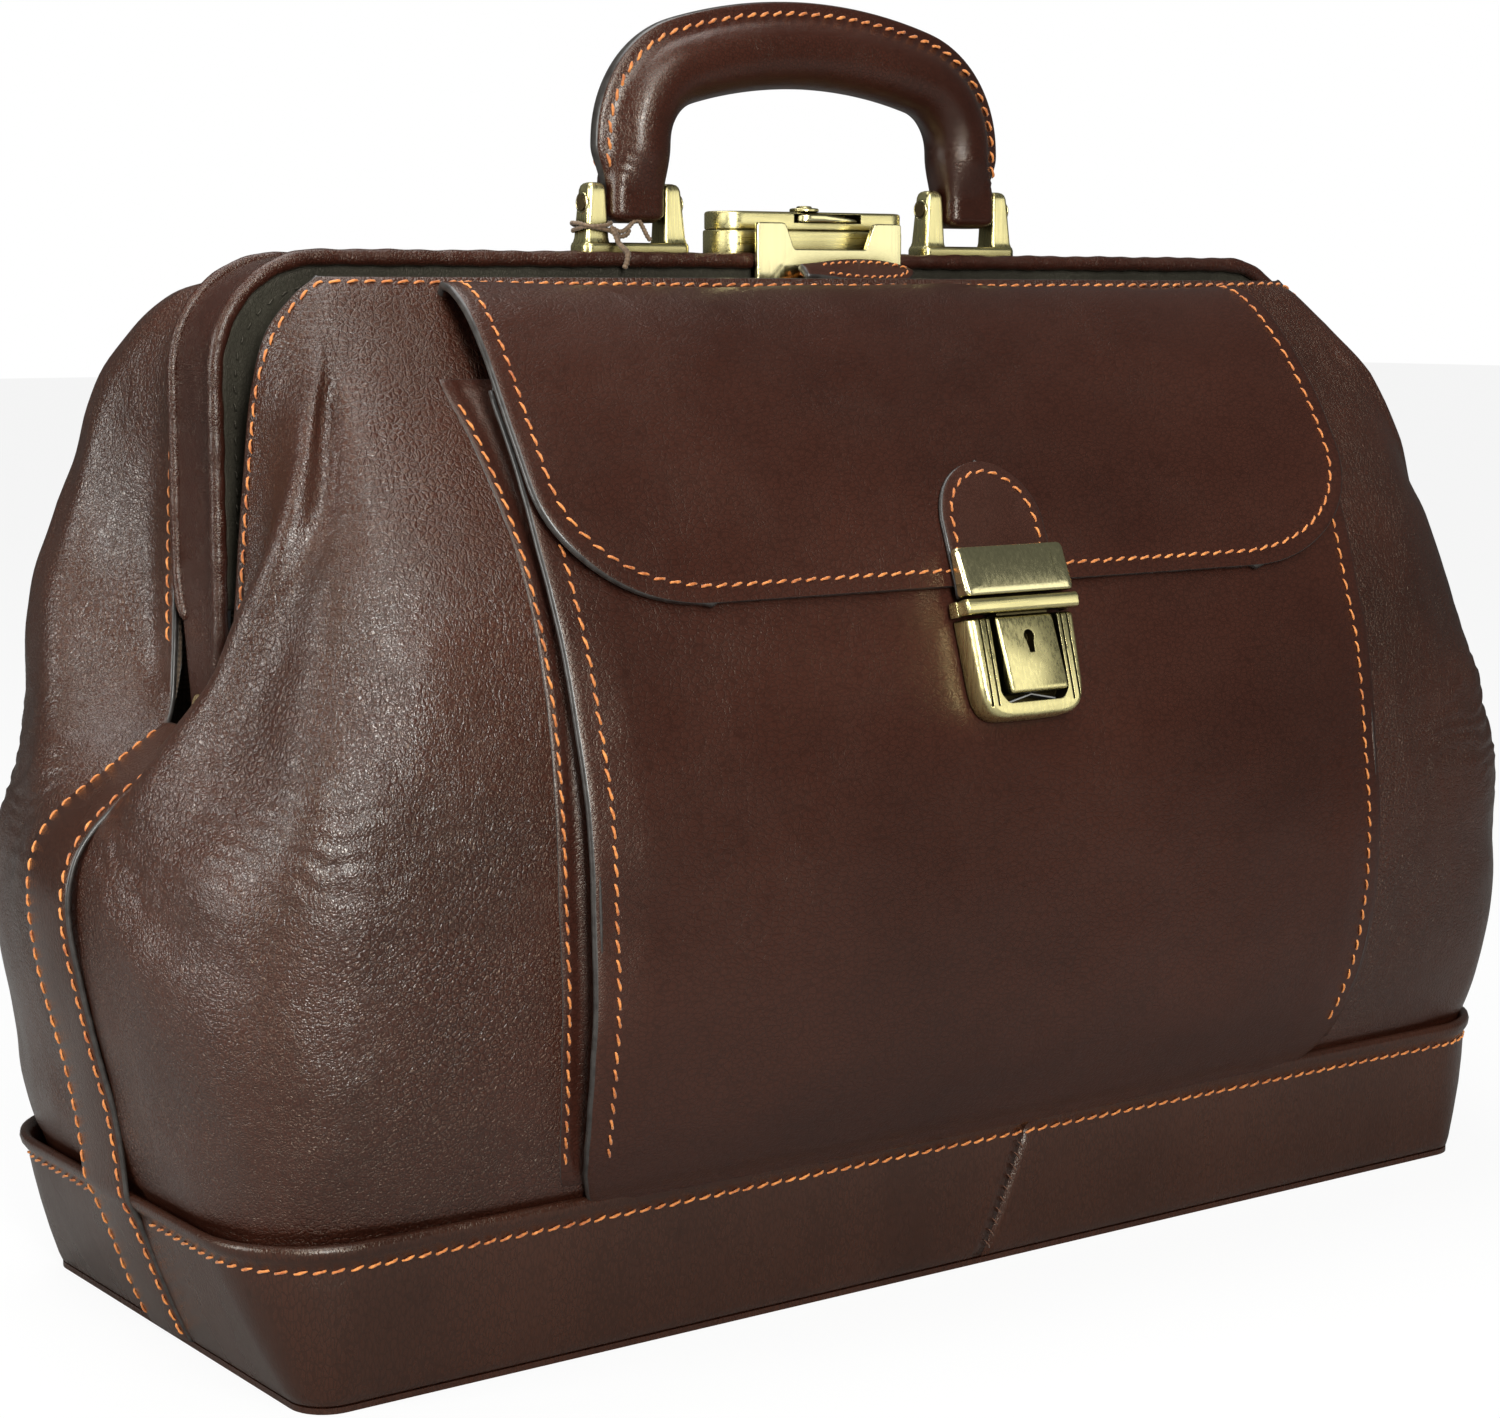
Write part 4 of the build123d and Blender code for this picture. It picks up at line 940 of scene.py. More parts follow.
# Section through the band: outward offset, height
BAND_PROFILE = [
    (-0.5, 1.6), (0.1, 2.2), (0.45, 4.5), (0.75, 12), (0.85, 21), (0.7, 29), (0.35, 34.4),
    (0.0, 36.2), (0.15, 37.4), (0.75, 38.4), (1.25, 39.6), (1.3, 40.9), (0.8, 42.1), (-0.3, 42.6),
    (-1.3, 42.2), (-2.0, 40.8), (-2.1, 34), (-2.1, 12), (-2.0, 3), (-1.4, 1.7)]


def band_ring(z, side):
    """Half ring from the rear seam round one side to the front seam: points and normals."""
    growth = (z - BAND_LOW) / BAND_RISE
    half_x = (BAND_LENGTH + BAND_LENGTH_GROWTH * growth) / 2
    half_y = (BAND_DEPTH + BAND_DEPTH_GROWTH * growth) / 2
    radius = BAND_RADIUS + BAND_RADIUS_GROWTH * growth
    seam_x = BAND_SEAM_X + BAND_SEAM_SLOPE * z + side * BAND_SEAM_GAP
    turn_x, turn_y = half_x - radius, half_y - radius
    end_x = side * turn_x
    run = [k / 46 for k in range(47)]
    turn = [(math.sin(a), math.cos(a)) for a in (math.pi / 2 * k / 13 for k in range(1, 13))]
    rows = [(seam_x + (end_x - seam_x) * f, half_y, 0, 1) for f in run]
    rows += [(side * (turn_x + radius * sine), turn_y + radius * cosine, side * sine, cosine)
             for sine, cosine in turn]
    rows += [(side * half_x, turn_y * (1 - 2 * k / 24), side, 0) for k in range(25)]
    rows += [(side * (turn_x + radius * cosine), -(turn_y + radius * sine), side * cosine, -sine)
             for sine, cosine in turn]
    rows += [(end_x + (seam_x - end_x) * f, -half_y, 0, -1) for f in run]
    rows = np.array(rows)
    return rows[:, :2], rows[:, 2:]


def base_band(name, side, node):
    rings = []
    for offset, z in BAND_PROFILE:
        points, normals = band_ring(z, side)
        wave = (0.16 * np.sin(points[:, 0] / 17.0 + z / 9.0) * np.clip((z - 6) / 10, 0, 1)
                * np.clip((34 - z) / 10, 0, 1))
        plan = points + normals * (offset + wave)[:, None]
        rings.append(np.column_stack([plan, np.full(len(plan), z)]))
    levels, count = len(rings), len(rings[0])
    faces = []
    for i in range(levels):
        above = (i + 1) % levels
        for j in range(count - 1):
            faces.append((i * count + j, i * count + j + 1,
                          above * count + j + 1, above * count + j))
    faces.append(tuple(i * count for i in range(levels)))
    faces.append(tuple(i * count + count - 1 for i in range(levels))[::-1])
    ob = add_mesh(name, np.vstack(rings), faces, [BAND_LEATHER], ROOT)
    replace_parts(ob, node)


def sew_band(side, tag):
    """Stitches on the front and the rear of one band piece, clear of the side strip."""
    points, normals = band_ring(BAND_STITCH_Z, side)
    for part, side_y in (("front", -1), ("rear", 1)):
        keep = points[:, 1] * side_y > 13.5
        plan = points[keep] + normals[keep] * 0.15
        sew(f"stitch_band_{tag}_{part}",
            np.column_stack([plan, np.full(len(plan), BAND_STITCH_Z)]),
            np.column_stack([normals[keep], np.full(len(plan), 0.05)]),
            ROOT, lean=14)


def sew_band_seam():
    seam = []
    for z in np.linspace(4, 34, 20):
        growth = (z - BAND_LOW) / BAND_RISE
        face_y = -(BAND_DEPTH + BAND_DEPTH_GROWTH * growth) / 2
        seam.append((BAND_SEAM_X + BAND_SEAM_SLOPE * z, face_y - 0.8, z))
    sew("stitch_band_seam", seam, (0, -1, 0.1), ROOT, step=1.5, pitch=3.0, length=1.9,
        radius=0.3, lean=60, lift=-0.02, material=BROWN_THREAD)


base_band("base_band_left_leather", -1, "base_band_left")
base_band("base_band_right_leather", 1, "base_band_right")
sew_band(-1, "left")
sew_band(1, "right")
sew_band_seam()

# ----------------------------------------------------------- side seam strips
# Middle line of the left strip: x, z
STRIP_LINE = [
    (-201.0, 1.6), (-206.5, 14.0), (-211.2, 27), (-215.6, 38.0), (-217.4, 41.6), (-217.8, 45.5),
    (-218.7, 54), (-220.6, 65.0), (-225.0, 84), (-228.7, 100.0), (-230.4, 112), (-230.2, 121.0),
    (-227.6, 129.6), (-222.6, 136.2), (-215.6, 141.6), (-207.6, 146.6), (-199.6, 151.8),
    (-193.0, 156.4)]


def side_strip(name, side, node):
    line = resample(smooth_curve(STRIP_LINE, 8), 150)
    path = np.column_stack([line[:, 0] * -side, np.zeros(len(line)), line[:, 1]])
    along = np.linspace(0, 1, len(path))
    half = np.interp(along, [0, 0.5, 0.82, 1.0], [12.6, 12.4, 12.2, 10.6])
    across = np.array([0, 1.0, 0])
    outward = unit(np.cross(unit(np.gradient(path, axis=0)), across)) * -side
    columns = np.linspace(-1, 1, 17)
    grid = np.zeros((len(columns), len(path), 3))
    for i, c in enumerate(columns):
        crown = 0.55 * (1 - c * c) - 0.25 * (abs(c) ** 8)
        groove = -0.22 * math.exp(-((abs(c) - 0.84) / 0.05) ** 2)
        wobble = (0.15 * np.sin(along * 30 + i * 0.3)
                  * np.interp(along, [0, 0.3, 0.4, 0.95, 1], [0, 0, 1, 1, 0]))
        grid[i] = (path + across * (c * half)[:, None]
                   + outward * (crown + groove + wobble)[:, None])
    _, normals = sheet(name, grid, 1.5, [BAND_LEATHER, EDGE_PAINT], ROOT,
                       outward, replaces=(node,))
    last = len(columns) - 1
    for column, inner, tag in ((1, 2, "a"), (last - 1, last - 2, "b")):
        row = grid[column] * 0.7 + grid[inner] * 0.3
        sew(f"stitch_{name}_{tag}", row[1:-2], normals[column, 1:-2], ROOT)


side_strip("side_strip_left_leather", -1, "side_strip_left")
side_strip("side_strip_right_leather", 1, "side_strip_right")

# --------------------------------------------------------------- mouth frames
ARCH_HALF, ARCH_TOP, ARCH_RADIUS = 186.0, 273.0, 29.0
COVER_FOOT_Z, COVER_FOOT_RADIUS = 160, 8.5


def arch_path(half, top, radius, bottom, count):
    """Arch with rounded upper corners, from the left foot to the right one: x, z."""
    turn = [math.pi / 2 * k / 16 for k in range(1, 17)]
    points = [(-half, bottom), (-half, top - radius)]
    points += [(-half + radius - radius * math.cos(a), top - radius + radius * math.sin(a))
               for a in turn]
    points.append((half - radius, top))
    points += [(half - radius + radius * math.sin(a), top - radius + radius * math.cos(a))
               for a in turn]
    points.append((half, bottom))
    return resample(points, count)


def arch_grid(half, top, radius, bottom, front_y, rear_y, columns, crown, count):
    """Grid of a strip bent over an arch, and the arch's outward directions.

    front_y and rear_y give the strip's edges at a height.
    """
    line = arch_path(half, top, radius, bottom, count)
    along = unit(np.gradient(line, axis=0))
    out = np.column_stack([-along[:, 1], along[:, 0]])
    out = np.where((out[:, :1] * line[:, :1] + out[:, 1:] * (line[:, 1:] - 150)) < 0, -out, out)
    front = np.array([front_y(z) for z in line[:, 1]])
    rear = np.array([rear_y(z) for z in line[:, 1]])
    grid = np.zeros((columns, len(line), 3))
    for i in range(columns):
        c = -1 + 2 * i / (columns - 1)
        y = (front + rear) / 2 + (rear - front) / 2 * c
        plane = line + out * (crown * (1 - c * c))
        grid[i] = np.column_stack([plane[:, 0], y, plane[:, 1]])
    return grid, np.column_stack([out[:, 0], np.zeros(len(line)), out[:, 1]])


def cover_edge(z, upper_z, upper_y):
    """Distance of the cover's edge from the middle plane; the foot is rounded off."""
    if z < COVER_FOOT_Z:
        return math.sqrt(max(COVER_FOOT_RADIUS ** 2 - (COVER_FOOT_Z - z) ** 2, 0.3))
    return float(np.interp(z, [COVER_FOOT_Z, upper_z], [COVER_FOOT_RADIUS, upper_y]))


def frame_cover():
    grid, out = arch_grid(ARCH_HALF, ARCH_TOP, ARCH_RADIUS, 152.2,
                          lambda z: -cover_edge(z, 176, 8.3), lambda z: cover_edge(z, 192, 13.2),
                          columns=21, crown=0.5, count=420)
    wrinkles = soft_noise(grid, 1 / 7.0, 2.0) * 0.22 + soft_noise(grid, 1 / 18.0, 6.0) * 0.25
    grid = grid + out[None] * wrinkles[..., None]
    sheet("frame_cover_leather", grid, 1.3, [FRAME_LEATHER, EDGE_PAINT], REAR,
          out, replaces=("frame_leather_cover",))


def piping(name, y, bottom, radius, foot_shift, node):
    """Piping along the arch; its feet turn in by foot_shift along Y."""
    line = arch_path(ARCH_HALF + 0.2, ARCH_TOP, ARCH_RADIUS, bottom, 420)
    path = np.column_stack([line[:, 0], np.full(len(line), y), line[:, 1]])
    near_foot = np.clip((bottom + 14 - line[:, 1]) / 14, 0, 1)
    path[:, 1] += near_foot ** 2 * foot_shift
    steps = np.arange(len(line))
    radii = radius * (1 + 0.05 * np.sin(steps * 0.9) + 0.04 * np.sin(steps * 0.31))
    taper = np.array([0.35, 0.7, 0.9, 1.0])
    radii[:4] *= taper
    radii[-4:] *= taper[::-1]
    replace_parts(tube(name, path, radii, 16, FRAME_LEATHER, REAR), node)


def mouth_facing(name, y, slope, wave, frequency, leather_face, outward):
    """Strip inside the mouth behind a piping; wave and frequency ripple its inner edge."""
    count, inset = 300, 1.6
    outer = arch_path(ARCH_HALF - inset, ARCH_TOP - inset, ARCH_RADIUS - inset, 186.0, count)
    inner = arch_path(171.5, 257.5, 18.0, 186.0, count)
    grid = np.zeros((7, count, 3))
    for i in range(7):
        c = i / 6
        line = outer * (1 - c) + inner * c
        ripple = wave * np.sin(np.arange(count) * frequency) * c
        grid[i] = np.column_stack([line[:, 0], y + slope * c + ripple, line[:, 1]])
    _, normals = sheet(name, grid, 0.9, [leather_face, EDGE_PAINT], REAR, outward)
    return grid, normals


def front_binding():
    grid, out = arch_grid(175.7, 262.7, 25.7, 196.0, lambda z: -24.6, lambda z: -17.2,
                          columns=9, crown=0.6, count=240)
    # the binding's grey-green colour is a painted reflection
    sheet("front_binding_leather", grid, 1.4, [BINDING_REFLECTION_LEATHER, EDGE_PAINT], ROOT,
          out, replaces=("front_frame_binding",))
    sew("stitch_front_binding", grid[4][8:-8], out[8:-8], ROOT, pitch=4.8, length=2.6,
        radius=0.35, material=BROWN_THREAD)


frame_cover()
piping("frame_piping_front_leather", y=-9.4, bottom=168.0, radius=2.1, foot_shift=3.0,
       node="frame_piping_front")
piping("frame_piping_rear_leather", y=14.2, bottom=182.0, radius=1.5, foot_shift=-4.0,
       node="frame_piping_rear")
# the front facing and its stitches use the leather whose grey-green colour is a painted reflection
facing_grid, facing_normals = mouth_facing(
    "mouth_facing", y=-8.3, slope=1.6, wave=0.35, frequency=0.33, leather_face=BINDING_REFLECTION_LEATHER,
    outward=FRONTWARD)
mouth_facing("mouth_facing_rear", y=12.9, slope=2.6, wave=0.25, frequency=0.29,
             leather_face=FRAME_LEATHER, outward=BACKWARD)
sew("stitch_mouth_facing", facing_grid[2][6:-6], facing_normals[2, 6:-6], REAR, pitch=4.2,
    length=2.6, radius=0.34, material=BINDING_REFLECTION_LEATHER)
front_binding()

# --------------------------------------------------------- pocket and gussets
# Side view of the pocket front: y, z
POCKET_LINE = resample(smooth_curve([
    (-80.6, 39.0), (-81.8, 41.6), (-84.9, 45.2), (-88.0, 50), (-92.8, 58.4), (-97.3, 70.2),
    (-100.4, 86), (-101.5, 108), (-101.0, 126), (-98.6, 145), (-93.2, 168.5), (-85.7, 191.5),
    (-79.6, 206), (-70.6, 224), (-59.0, 240.6)], 10), 96)
POCKET_HALF_HEIGHTS = [39, 44, 50, 58, 70, 82, 140, 182, 204, 218, 241]
POCKET_HALF_WIDTHS = [122.0, 126.0, 129.0, 131.2, 133.0, 133.7, 133.9, 134.8, 136.0, 136.6, 136.4]
POCKET_STITCH_INSET = 5.4
# How far the gusset reaches past the pocket's side, by height
GUSSET_REACH_HEIGHTS = [47, 58, 70, 95, 120, 144, 167, 215, 229, 241]
GUSSET_REACHES = [5.6, 4.4, 3.6, 4.0, 4.7, 4.3, 3.2, 2.8, 4.2, 6.9]


def pocket_half(z):
    return np.interp(z, POCKET_HALF_HEIGHTS, POCKET_HALF_WIDTHS)


def pocket_front():
    # share of the half width at each column, close together at the edges
    share = np.concatenate([np.linspace(-1, -0.86, 10), np.linspace(-0.84, 0.84, 56),
                            np.linspace(0.86, 1, 10)])[:, None]
    y, z = POCKET_LINE[None, :, 0], POCKET_LINE[None, :, 1]
    curl = 1.5 * np.maximum(0.0, np.abs(share) - 0.9) / 0.1
    curl = curl * (0.5 + 0.5 * np.minimum(1, (z - 44) / 20)) * (1 - np.clip((z - 200) / 40, 0, 1))
    sag = 0.9 * np.exp(-((z - 110) / 60) ** 2) * (1 - share * share)
    grid = np.stack(np.broadcast_arrays(share * pocket_half(z), y + curl - sag, z), axis=-1)
    wobble = soft_noise(grid, 1 / 30.0, 21.0) * 0.9 + soft_noise(grid, 1 / 11.0, 27.0) * 0.22
    soft = np.clip((grid[..., 2] - 46) / 14, 0, 1)
    grid = grid + outward_normals(grid, FRONTWARD) * (wobble * soft)[..., None]
    _, normals = sheet("pocket_front_panel", grid, 1.9, [FLAP_LEATHER, EDGE_PAINT], ROOT,
                       FRONTWARD, replaces=("pocket_front_leather",),
                       round_rim=0.5)
    for side, tag in ((-1, "left"), (1, "right")):
        points, directions = [], []
        for j in range(8, grid.shape[1]):
            x = side * (pocket_half(grid[0, j, 2]) - POCKET_STITCH_INSET)
            points.append(sample_row(grid, grid, j, x))
            directions.append(sample_row(grid, normals, j, x))
        sew(f"stitch_pocket_{tag}", points, directions, ROOT, lean=12)


def body_front_y(x, z):
    """Y of the front body surface at a place."""
    heights = FRONT_GRID[0, :, 2]
    row = int(np.argmin(np.abs(heights - z)))
    if heights[row] < z:
        other = min(row + 1, len(heights) - 1)
    else:
        other = max(row - 1, 0)
    row_y = sample_row(FRONT_GRID, FRONT_GRID, row, x)[1]
    other_y = sample_row(FRONT_GRID, FRONT_GRID, other, x)[1]
    rise = heights[other] - heights[row]
    f = 0 if abs(rise) < 1e-6 else np.clip((z - heights[row]) / rise, 0, 1)
    return float(row_y + (other_y - row_y) * f)


def gusset(side, tag):
    """Folded leather between the body and one side of the pocket front."""
    rows = []
    for z in np.linspace(47.0, 243.0, 74):
        pocket_y = float(np.interp(z, POCKET_LINE[:, 1], POCKET_LINE[:, 0])) + 2.3
        half = float(pocket_half(z))
        reach = float(np.interp(z, GUSSET_REACH_HEIGHTS, GUSSET_REACHES))
        slack = 7.4 - reach
        rim_y = body_front_y(side * (half + reach - 0.2), z) - 0.15
        hem_y = body_front_y(side * (half + reach - 4.4), z) - 0.5
        back_y = body_front_y(side * (half - 1.0 - 0.6 * slack), z) - 1.3
        gap = max(back_y - pocket_y, 0.4)
        pinch = min(4.6, 0.45 * gap)
        middle_y = (back_y + pocket_y) / 2 + 0.4 * math.sin(z / 13.0)
        # from the rim on the body, into the fold, out to the pocket's edge: x, y
        section = [
            (half + reach, rim_y),
            (half + 4.8 - 0.9 * slack, (rim_y + hem_y) / 2 - 0.25),
            (half + 2.2 - 0.8 * slack, hem_y - 0.1),
            (half - 0.4 - 0.6 * slack, back_y - 0.2),
            (half - 2.2 - pinch * 0.4 - 0.35 * slack, back_y - gap * 0.18),
            (half - 2.6 - pinch - 0.2 * slack, middle_y),
            (half - 2.4 - pinch * 0.45, pocket_y + gap * 0.16),
            (half - 1.3, pocket_y + 0.35),
            (half - 0.9, pocket_y - 0.1)]
        rows.append([(side * x, y, z) for x, y in resample(smooth_curve(section, 4), 25)])
    grid = np.array(rows).transpose(1, 0, 2)
    _, normals = sheet(f"pocket_gusset_{tag}_fold", grid, 0.8, [FLAP_LEATHER, EDGE_PAINT], ROOT,
                       FRONTWARD, replaces=(f"pocket_gusset_{tag}",),
                       probe=np.s_[:6])
    sew(f"stitch_gusset_{tag}", grid[2][2:-2], normals[2, 2:-2], ROOT, lean=10, lift=0.1)


pocket_front()
gusset(-1, "left")
gusset(1, "right")

# ------------------------------------------------------------------------ flap
# Side views of the flap's two leaves, from the top fold down: y, z
FRONT_LEAF = resample(smooth_curve([
    (-33.6, 266.3), (-38.0, 265.4), (-45.8, 261.0), (-56.5, 250.4), (-66.5, 236.6),
    (-75.3, 222.2), (-81.0, 210.6), (-84.3, 203.2), (-89.6, 189.0)], 12), 78)
BACK_LEAF = resample(smooth_curve([
    (-33.6, 266.3), (-31.4, 265.3), (-30.9, 262.6), (-32.6, 259.4), (-36.6, 253.4),
    (-42.2, 244.6), (-47.0, 236.4), (-52.6, 226.8), (-55.6, 221.6)], 12), 44)
FLAP_LINE = np.vstack([FRONT_LEAF[::-1], BACK_LEAF[1:]])
FLAP_PLACES = arc_lengths(FLAP_LINE)
FLAP_LENGTH = FLAP_PLACES[-1]
FRONT_LENGTH = FLAP_PLACES[len(FRONT_LEAF) - 1]
CORNER_HEIGHT, CORNER_WIDTH = 34.0, 44.0
FLAP_LOW_HALF, FLAP_FOLD_HALF = 136.9, 134.8
FLAP_STITCH_INSET = 4.6
# Distances of the rows up from the lower edge, crowded together at the rounded corners
CORNER_ROWS = 22
FLAP_ROWS = np.array(
    [CORNER_HEIGHT * (1 - math.cos(math.pi / 2 * k / CORNER_ROWS)) for k in range(CORNER_ROWS)]
    + list(np.linspace(CORNER_HEIGHT + 1.0, FLAP_LENGTH, 82)))


def flap_full_half(up):
    """Half width of the flap before its corners are rounded, by distance up."""
    return float(np.interp(up, [0, 30, 48, 62, 80, 100, 118],
                           [FLAP_LOW_HALF, FLAP_LOW_HALF, 137.2, 137.0, 136.4, 135.6,
                            FLAP_FOLD_HALF]))


def flap_half(up):
    full = flap_full_half(up)
    if up >= CORNER_HEIGHT:
        return full
    return full - CORNER_WIDTH * (1 - math.sqrt(max(1 - (1 - up / CORNER_HEIGHT) ** 2, 0.0)))


def flap_skin():
    share = np.concatenate([np.linspace(-1, -0.9, 8), np.linspace(-0.88, 0.88, 62),
                            np.linspace(0.9, 1, 8)])
    end = np.maximum(0.0, (np.abs(share) - 0.55) / 0.45)
    grid = np.zeros((len(share), len(FLAP_ROWS), 3))
    for j, up in enumerate(FLAP_ROWS):
        y, z = lookup(up, FLAP_PLACES, FLAP_LINE)
        if up <= FRONT_LENGTH:
            half, bulge = flap_half(up), 0.0
        else:
            f = (up - FRONT_LENGTH) / (FLAP_LENGTH - FRONT_LENGTH)
            half = FLAP_FOLD_HALF - 1.5 * math.sin(math.pi * min(f * 1.5, 1)) + 1.0 * f
            bulge = math.sin(math.pi * np.clip((f - 0.05) / 0.95, 0, 1)) ** 0.8
        grid[:, j] = np.column_stack([share * half, y + 5.2 * bulge * end ** 1.5,
                                      np.full(len(share), z)])
    front_rows = np.s_[:, :60]
    loose = np.clip((FLAP_LENGTH - FLAP_ROWS) / 30, 0, 1)
    wobble = soft_noise(grid, 1 / 36.0, 41.0) * 0.8 + soft_noise(grid, 1 / 12.0, 47.0) * 0.16
    ripple = (0.35 * np.sin(grid[..., 0] / 21.0 + 1.0)
              * np.exp(-((FLAP_ROWS - FRONT_LENGTH) / 16) ** 2)[None, :])
    move = (wobble + ripple) * loose[None, :] * np.clip(FLAP_ROWS / 12, 0.25, 1)[None, :]
    grid = grid + outward_normals(grid, FRONTWARD, front_rows) * move[..., None]
    ob, normals = sheet("flap_skin", grid, 2.1, [FLAP_LEATHER, EDGE_PAINT], None,
                        FRONTWARD, replaces=("flap_leather", "flap_back_leaf"), round_rim=0.5,
                        probe=front_rows)
    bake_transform(ob)
    return grid, normals


def sew_flap_edge(grid, normals):
    """Stitches down the left side, round both lower corners and up the right side."""
    both = np.concatenate([grid, normals], axis=-1)
    inset = FLAP_STITCH_INSET
    left, right = [], []
    for j, up in enumerate(FLAP_ROWS):
        if up > FRONT_LENGTH + 6 or up <= inset + 0.3:
            continue
        distance = inset
        if up < CORNER_HEIGHT:
            height, width = CORNER_HEIGHT - inset, CORNER_WIDTH - inset
            curve = math.sqrt(max(1 - ((CORNER_HEIGHT - up) / height) ** 2, 0.0))
            distance = flap_half(up) - (flap_full_half(up) - CORNER_WIDTH + width * curve)
        for side, row in ((left, both[:, j]), (right, both[::-1, j])):
            side.append(lookup(distance, arc_lengths(row[:, :3]), row))
    bottom_row = int(np.argmin(np.abs(FLAP_ROWS - inset)))
    bottom_x = FLAP_LOW_HALF - CORNER_WIDTH
    bottom = [sample_row(grid, both, bottom_row, x) for x in np.linspace(-bottom_x, bottom_x, 60)]
    rows = np.array(left[::-1] + bottom + right)
    ob = sew("stitch_flap_edge", rows[:, :3], rows[:, 3:], None, lean=12)
    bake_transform(ob)


FLAP_GRID, FLAP_NORMALS = flap_skin()
sew_flap_edge(FLAP_GRID, FLAP_NORMALS)

# ------------------------------------------------------------- flap lock tab
# Directions in the lock's leaning face: up the face and out of it
LOCK_UP = np.array([0.0, 0.2706, 0.9627])
LOCK_OUT = np.array([0.0, -0.9627, 0.2706])
TAB_HALF, TAB_LOW, TAB_TOP = 16.6, 185.6, 219.4
TAB_ROUND = TAB_HALF * 0.95
TAB_SHOULDER = TAB_TOP - TAB_ROUND
TAB_FREE_Z = 189.5  # below this the tab hangs past the flap's edge


def flap_surface(x, z):
    """Point and normal on the outer face of the front leaf."""
    both = np.concatenate([FLAP_GRID, FLAP_NORMALS], axis=-1)
    profile = np.array([sample_row(FLAP_GRID, both, j, x)
                        for j, up in enumerate(FLAP_ROWS) if up <= FRONT_LENGTH])
    profile = profile[np.argsort(profile[:, 2])]
    found = lookup(z, profile[:, 2], profile)
    return found[:3], unit(found[3:])


def lock_tab():
    heights = list(np.linspace(TAB_LOW, TAB_SHOULDER, 18))
    heights += [TAB_SHOULDER + TAB_ROUND * math.sin(math.pi / 2 * k / 14.3) for k in range(1, 15)]
    grid = np.zeros((25, len(heights), 3))
    for j, z in enumerate(heights):
        over = (z - TAB_SHOULDER) / TAB_ROUND
        half = TAB_HALF * (math.sqrt(max(1 - over * over, 0.0)) if over > 0 else 1.0)
        for i in range(25):
            c = -1 + 2 * i / 24
            point, normal = flap_surface(c * max(half, 0.6), max(z, TAB_FREE_Z))
            if z < TAB_FREE_Z:
                point = point + LOCK_UP * (z - TAB_FREE_Z)
            grid[i, j] = point + normal * (1.55 + 0.12 * (1 - c * c))
    _, normals = sheet("flap_lock_tab_leather", grid, 1.4, [TAB_LEATHER, EDGE_PAINT], FLAP,
                       FRONTWARD, replaces=("flap_lock_tab",), round_rim=0.5)
    stitch_half = TAB_HALF - 2.6
    left, right, directions = [], [], []
    for j in range(1, len(heights)):
        over = (heights[j] - TAB_SHOULDER) / TAB_ROUND
        half = stitch_half
        if over > 0:
            if over * TAB_HALF >= stitch_half:
                continue
            half *= math.sqrt(max(1 - ((over * TAB_HALF) / stitch_half) ** 2, 0))
        left.append(sample_row(grid, grid, j, -half))
        right.append(sample_row(grid, grid, j, half))
        directions.append(normals[12, j])
    sew("stitch_lock_tab", left + right[::-1], directions + directions[::-1], FLAP, step=1.5,
        pitch=4.2, length=3.4, lean=12)


lock_tab()

# ---------------------------------------------------------------------- handle
HANDLE_Y, HANDLE_X = -1.0, 58.0
SHOULDER_RADIUS, CROWN_RADIUS = 22.0, 150.0
HANDLE_HALF, HANDLE_TOP = 57.3, 331.6
# Half section of the grip: outward from the arch, sideways; it has a sewn ridge outside
GRIP_SECTION = [(12.6, 0.0), (12.45, 1.3), (12.0, 2.05), (10.8, 2.6), (8.9, 3.2), (7.4, 4.2),
                (5.6, 6.3), (3.0, 8.4), (0, 9.3), (-3.4, 9.2), (-6.8, 7.6), (-9.6, 4.6),
                (-10.9, 0.0)]


def handle_path():
    """Middle line of the handle, from the left foot to the right one: x, z."""
    bend = math.asin((HANDLE_HALF - SHOULDER_RADIUS) / (CROWN_RADIUS - SHOULDER_RADIUS))
    crown_z = HANDLE_TOP - CROWN_RADIUS
    shoulder_z = crown_z + (CROWN_RADIUS - SHOULDER_RADIUS) * math.cos(bend)
    half = [(-HANDLE_X, z) for z in (282.9, 284.2, 286.5, 290)]
    half += [(-57.8, 294), (-57.5, 298.5), (-HANDLE_HALF, shoulder_z)]
    for k in range(1, 15):
        a = (math.pi / 2 - bend) * k / 14
        half.append((-HANDLE_HALF + SHOULDER_RADIUS - SHOULDER_RADIUS * math.cos(a),
                     shoulder_z + SHOULDER_RADIUS * math.sin(a)))
    for k in range(1, 15):
        a = bend * (1 - k / 14)
        half.append((-CROWN_RADIUS * math.sin(a), crown_z + CROWN_RADIUS * math.cos(a)))
    half = np.array(half)
    return relax(resample(np.vstack([half, (half[:-1] * (-1, 1))[::-1]]), 190), 3)


def outline_radius(outline, angles):
    """Radius of a closed outline seen from its middle, at the given angles."""
    closed = smooth_curve(np.vstack([outline, outline[:1]]), 10)
    turns = np.mod(np.arctan2(closed[:, 1], closed[:, 0]), 2 * math.pi)
    order = np.argsort(turns)
    turns = turns[order]
    radii = np.hypot(closed[:, 0], closed[:, 1])[order]
    turns = np.concatenate([turns - 2 * math.pi, turns, turns + 2 * math.pi])
    return np.interp(angles, turns, np.tile(radii, 3))


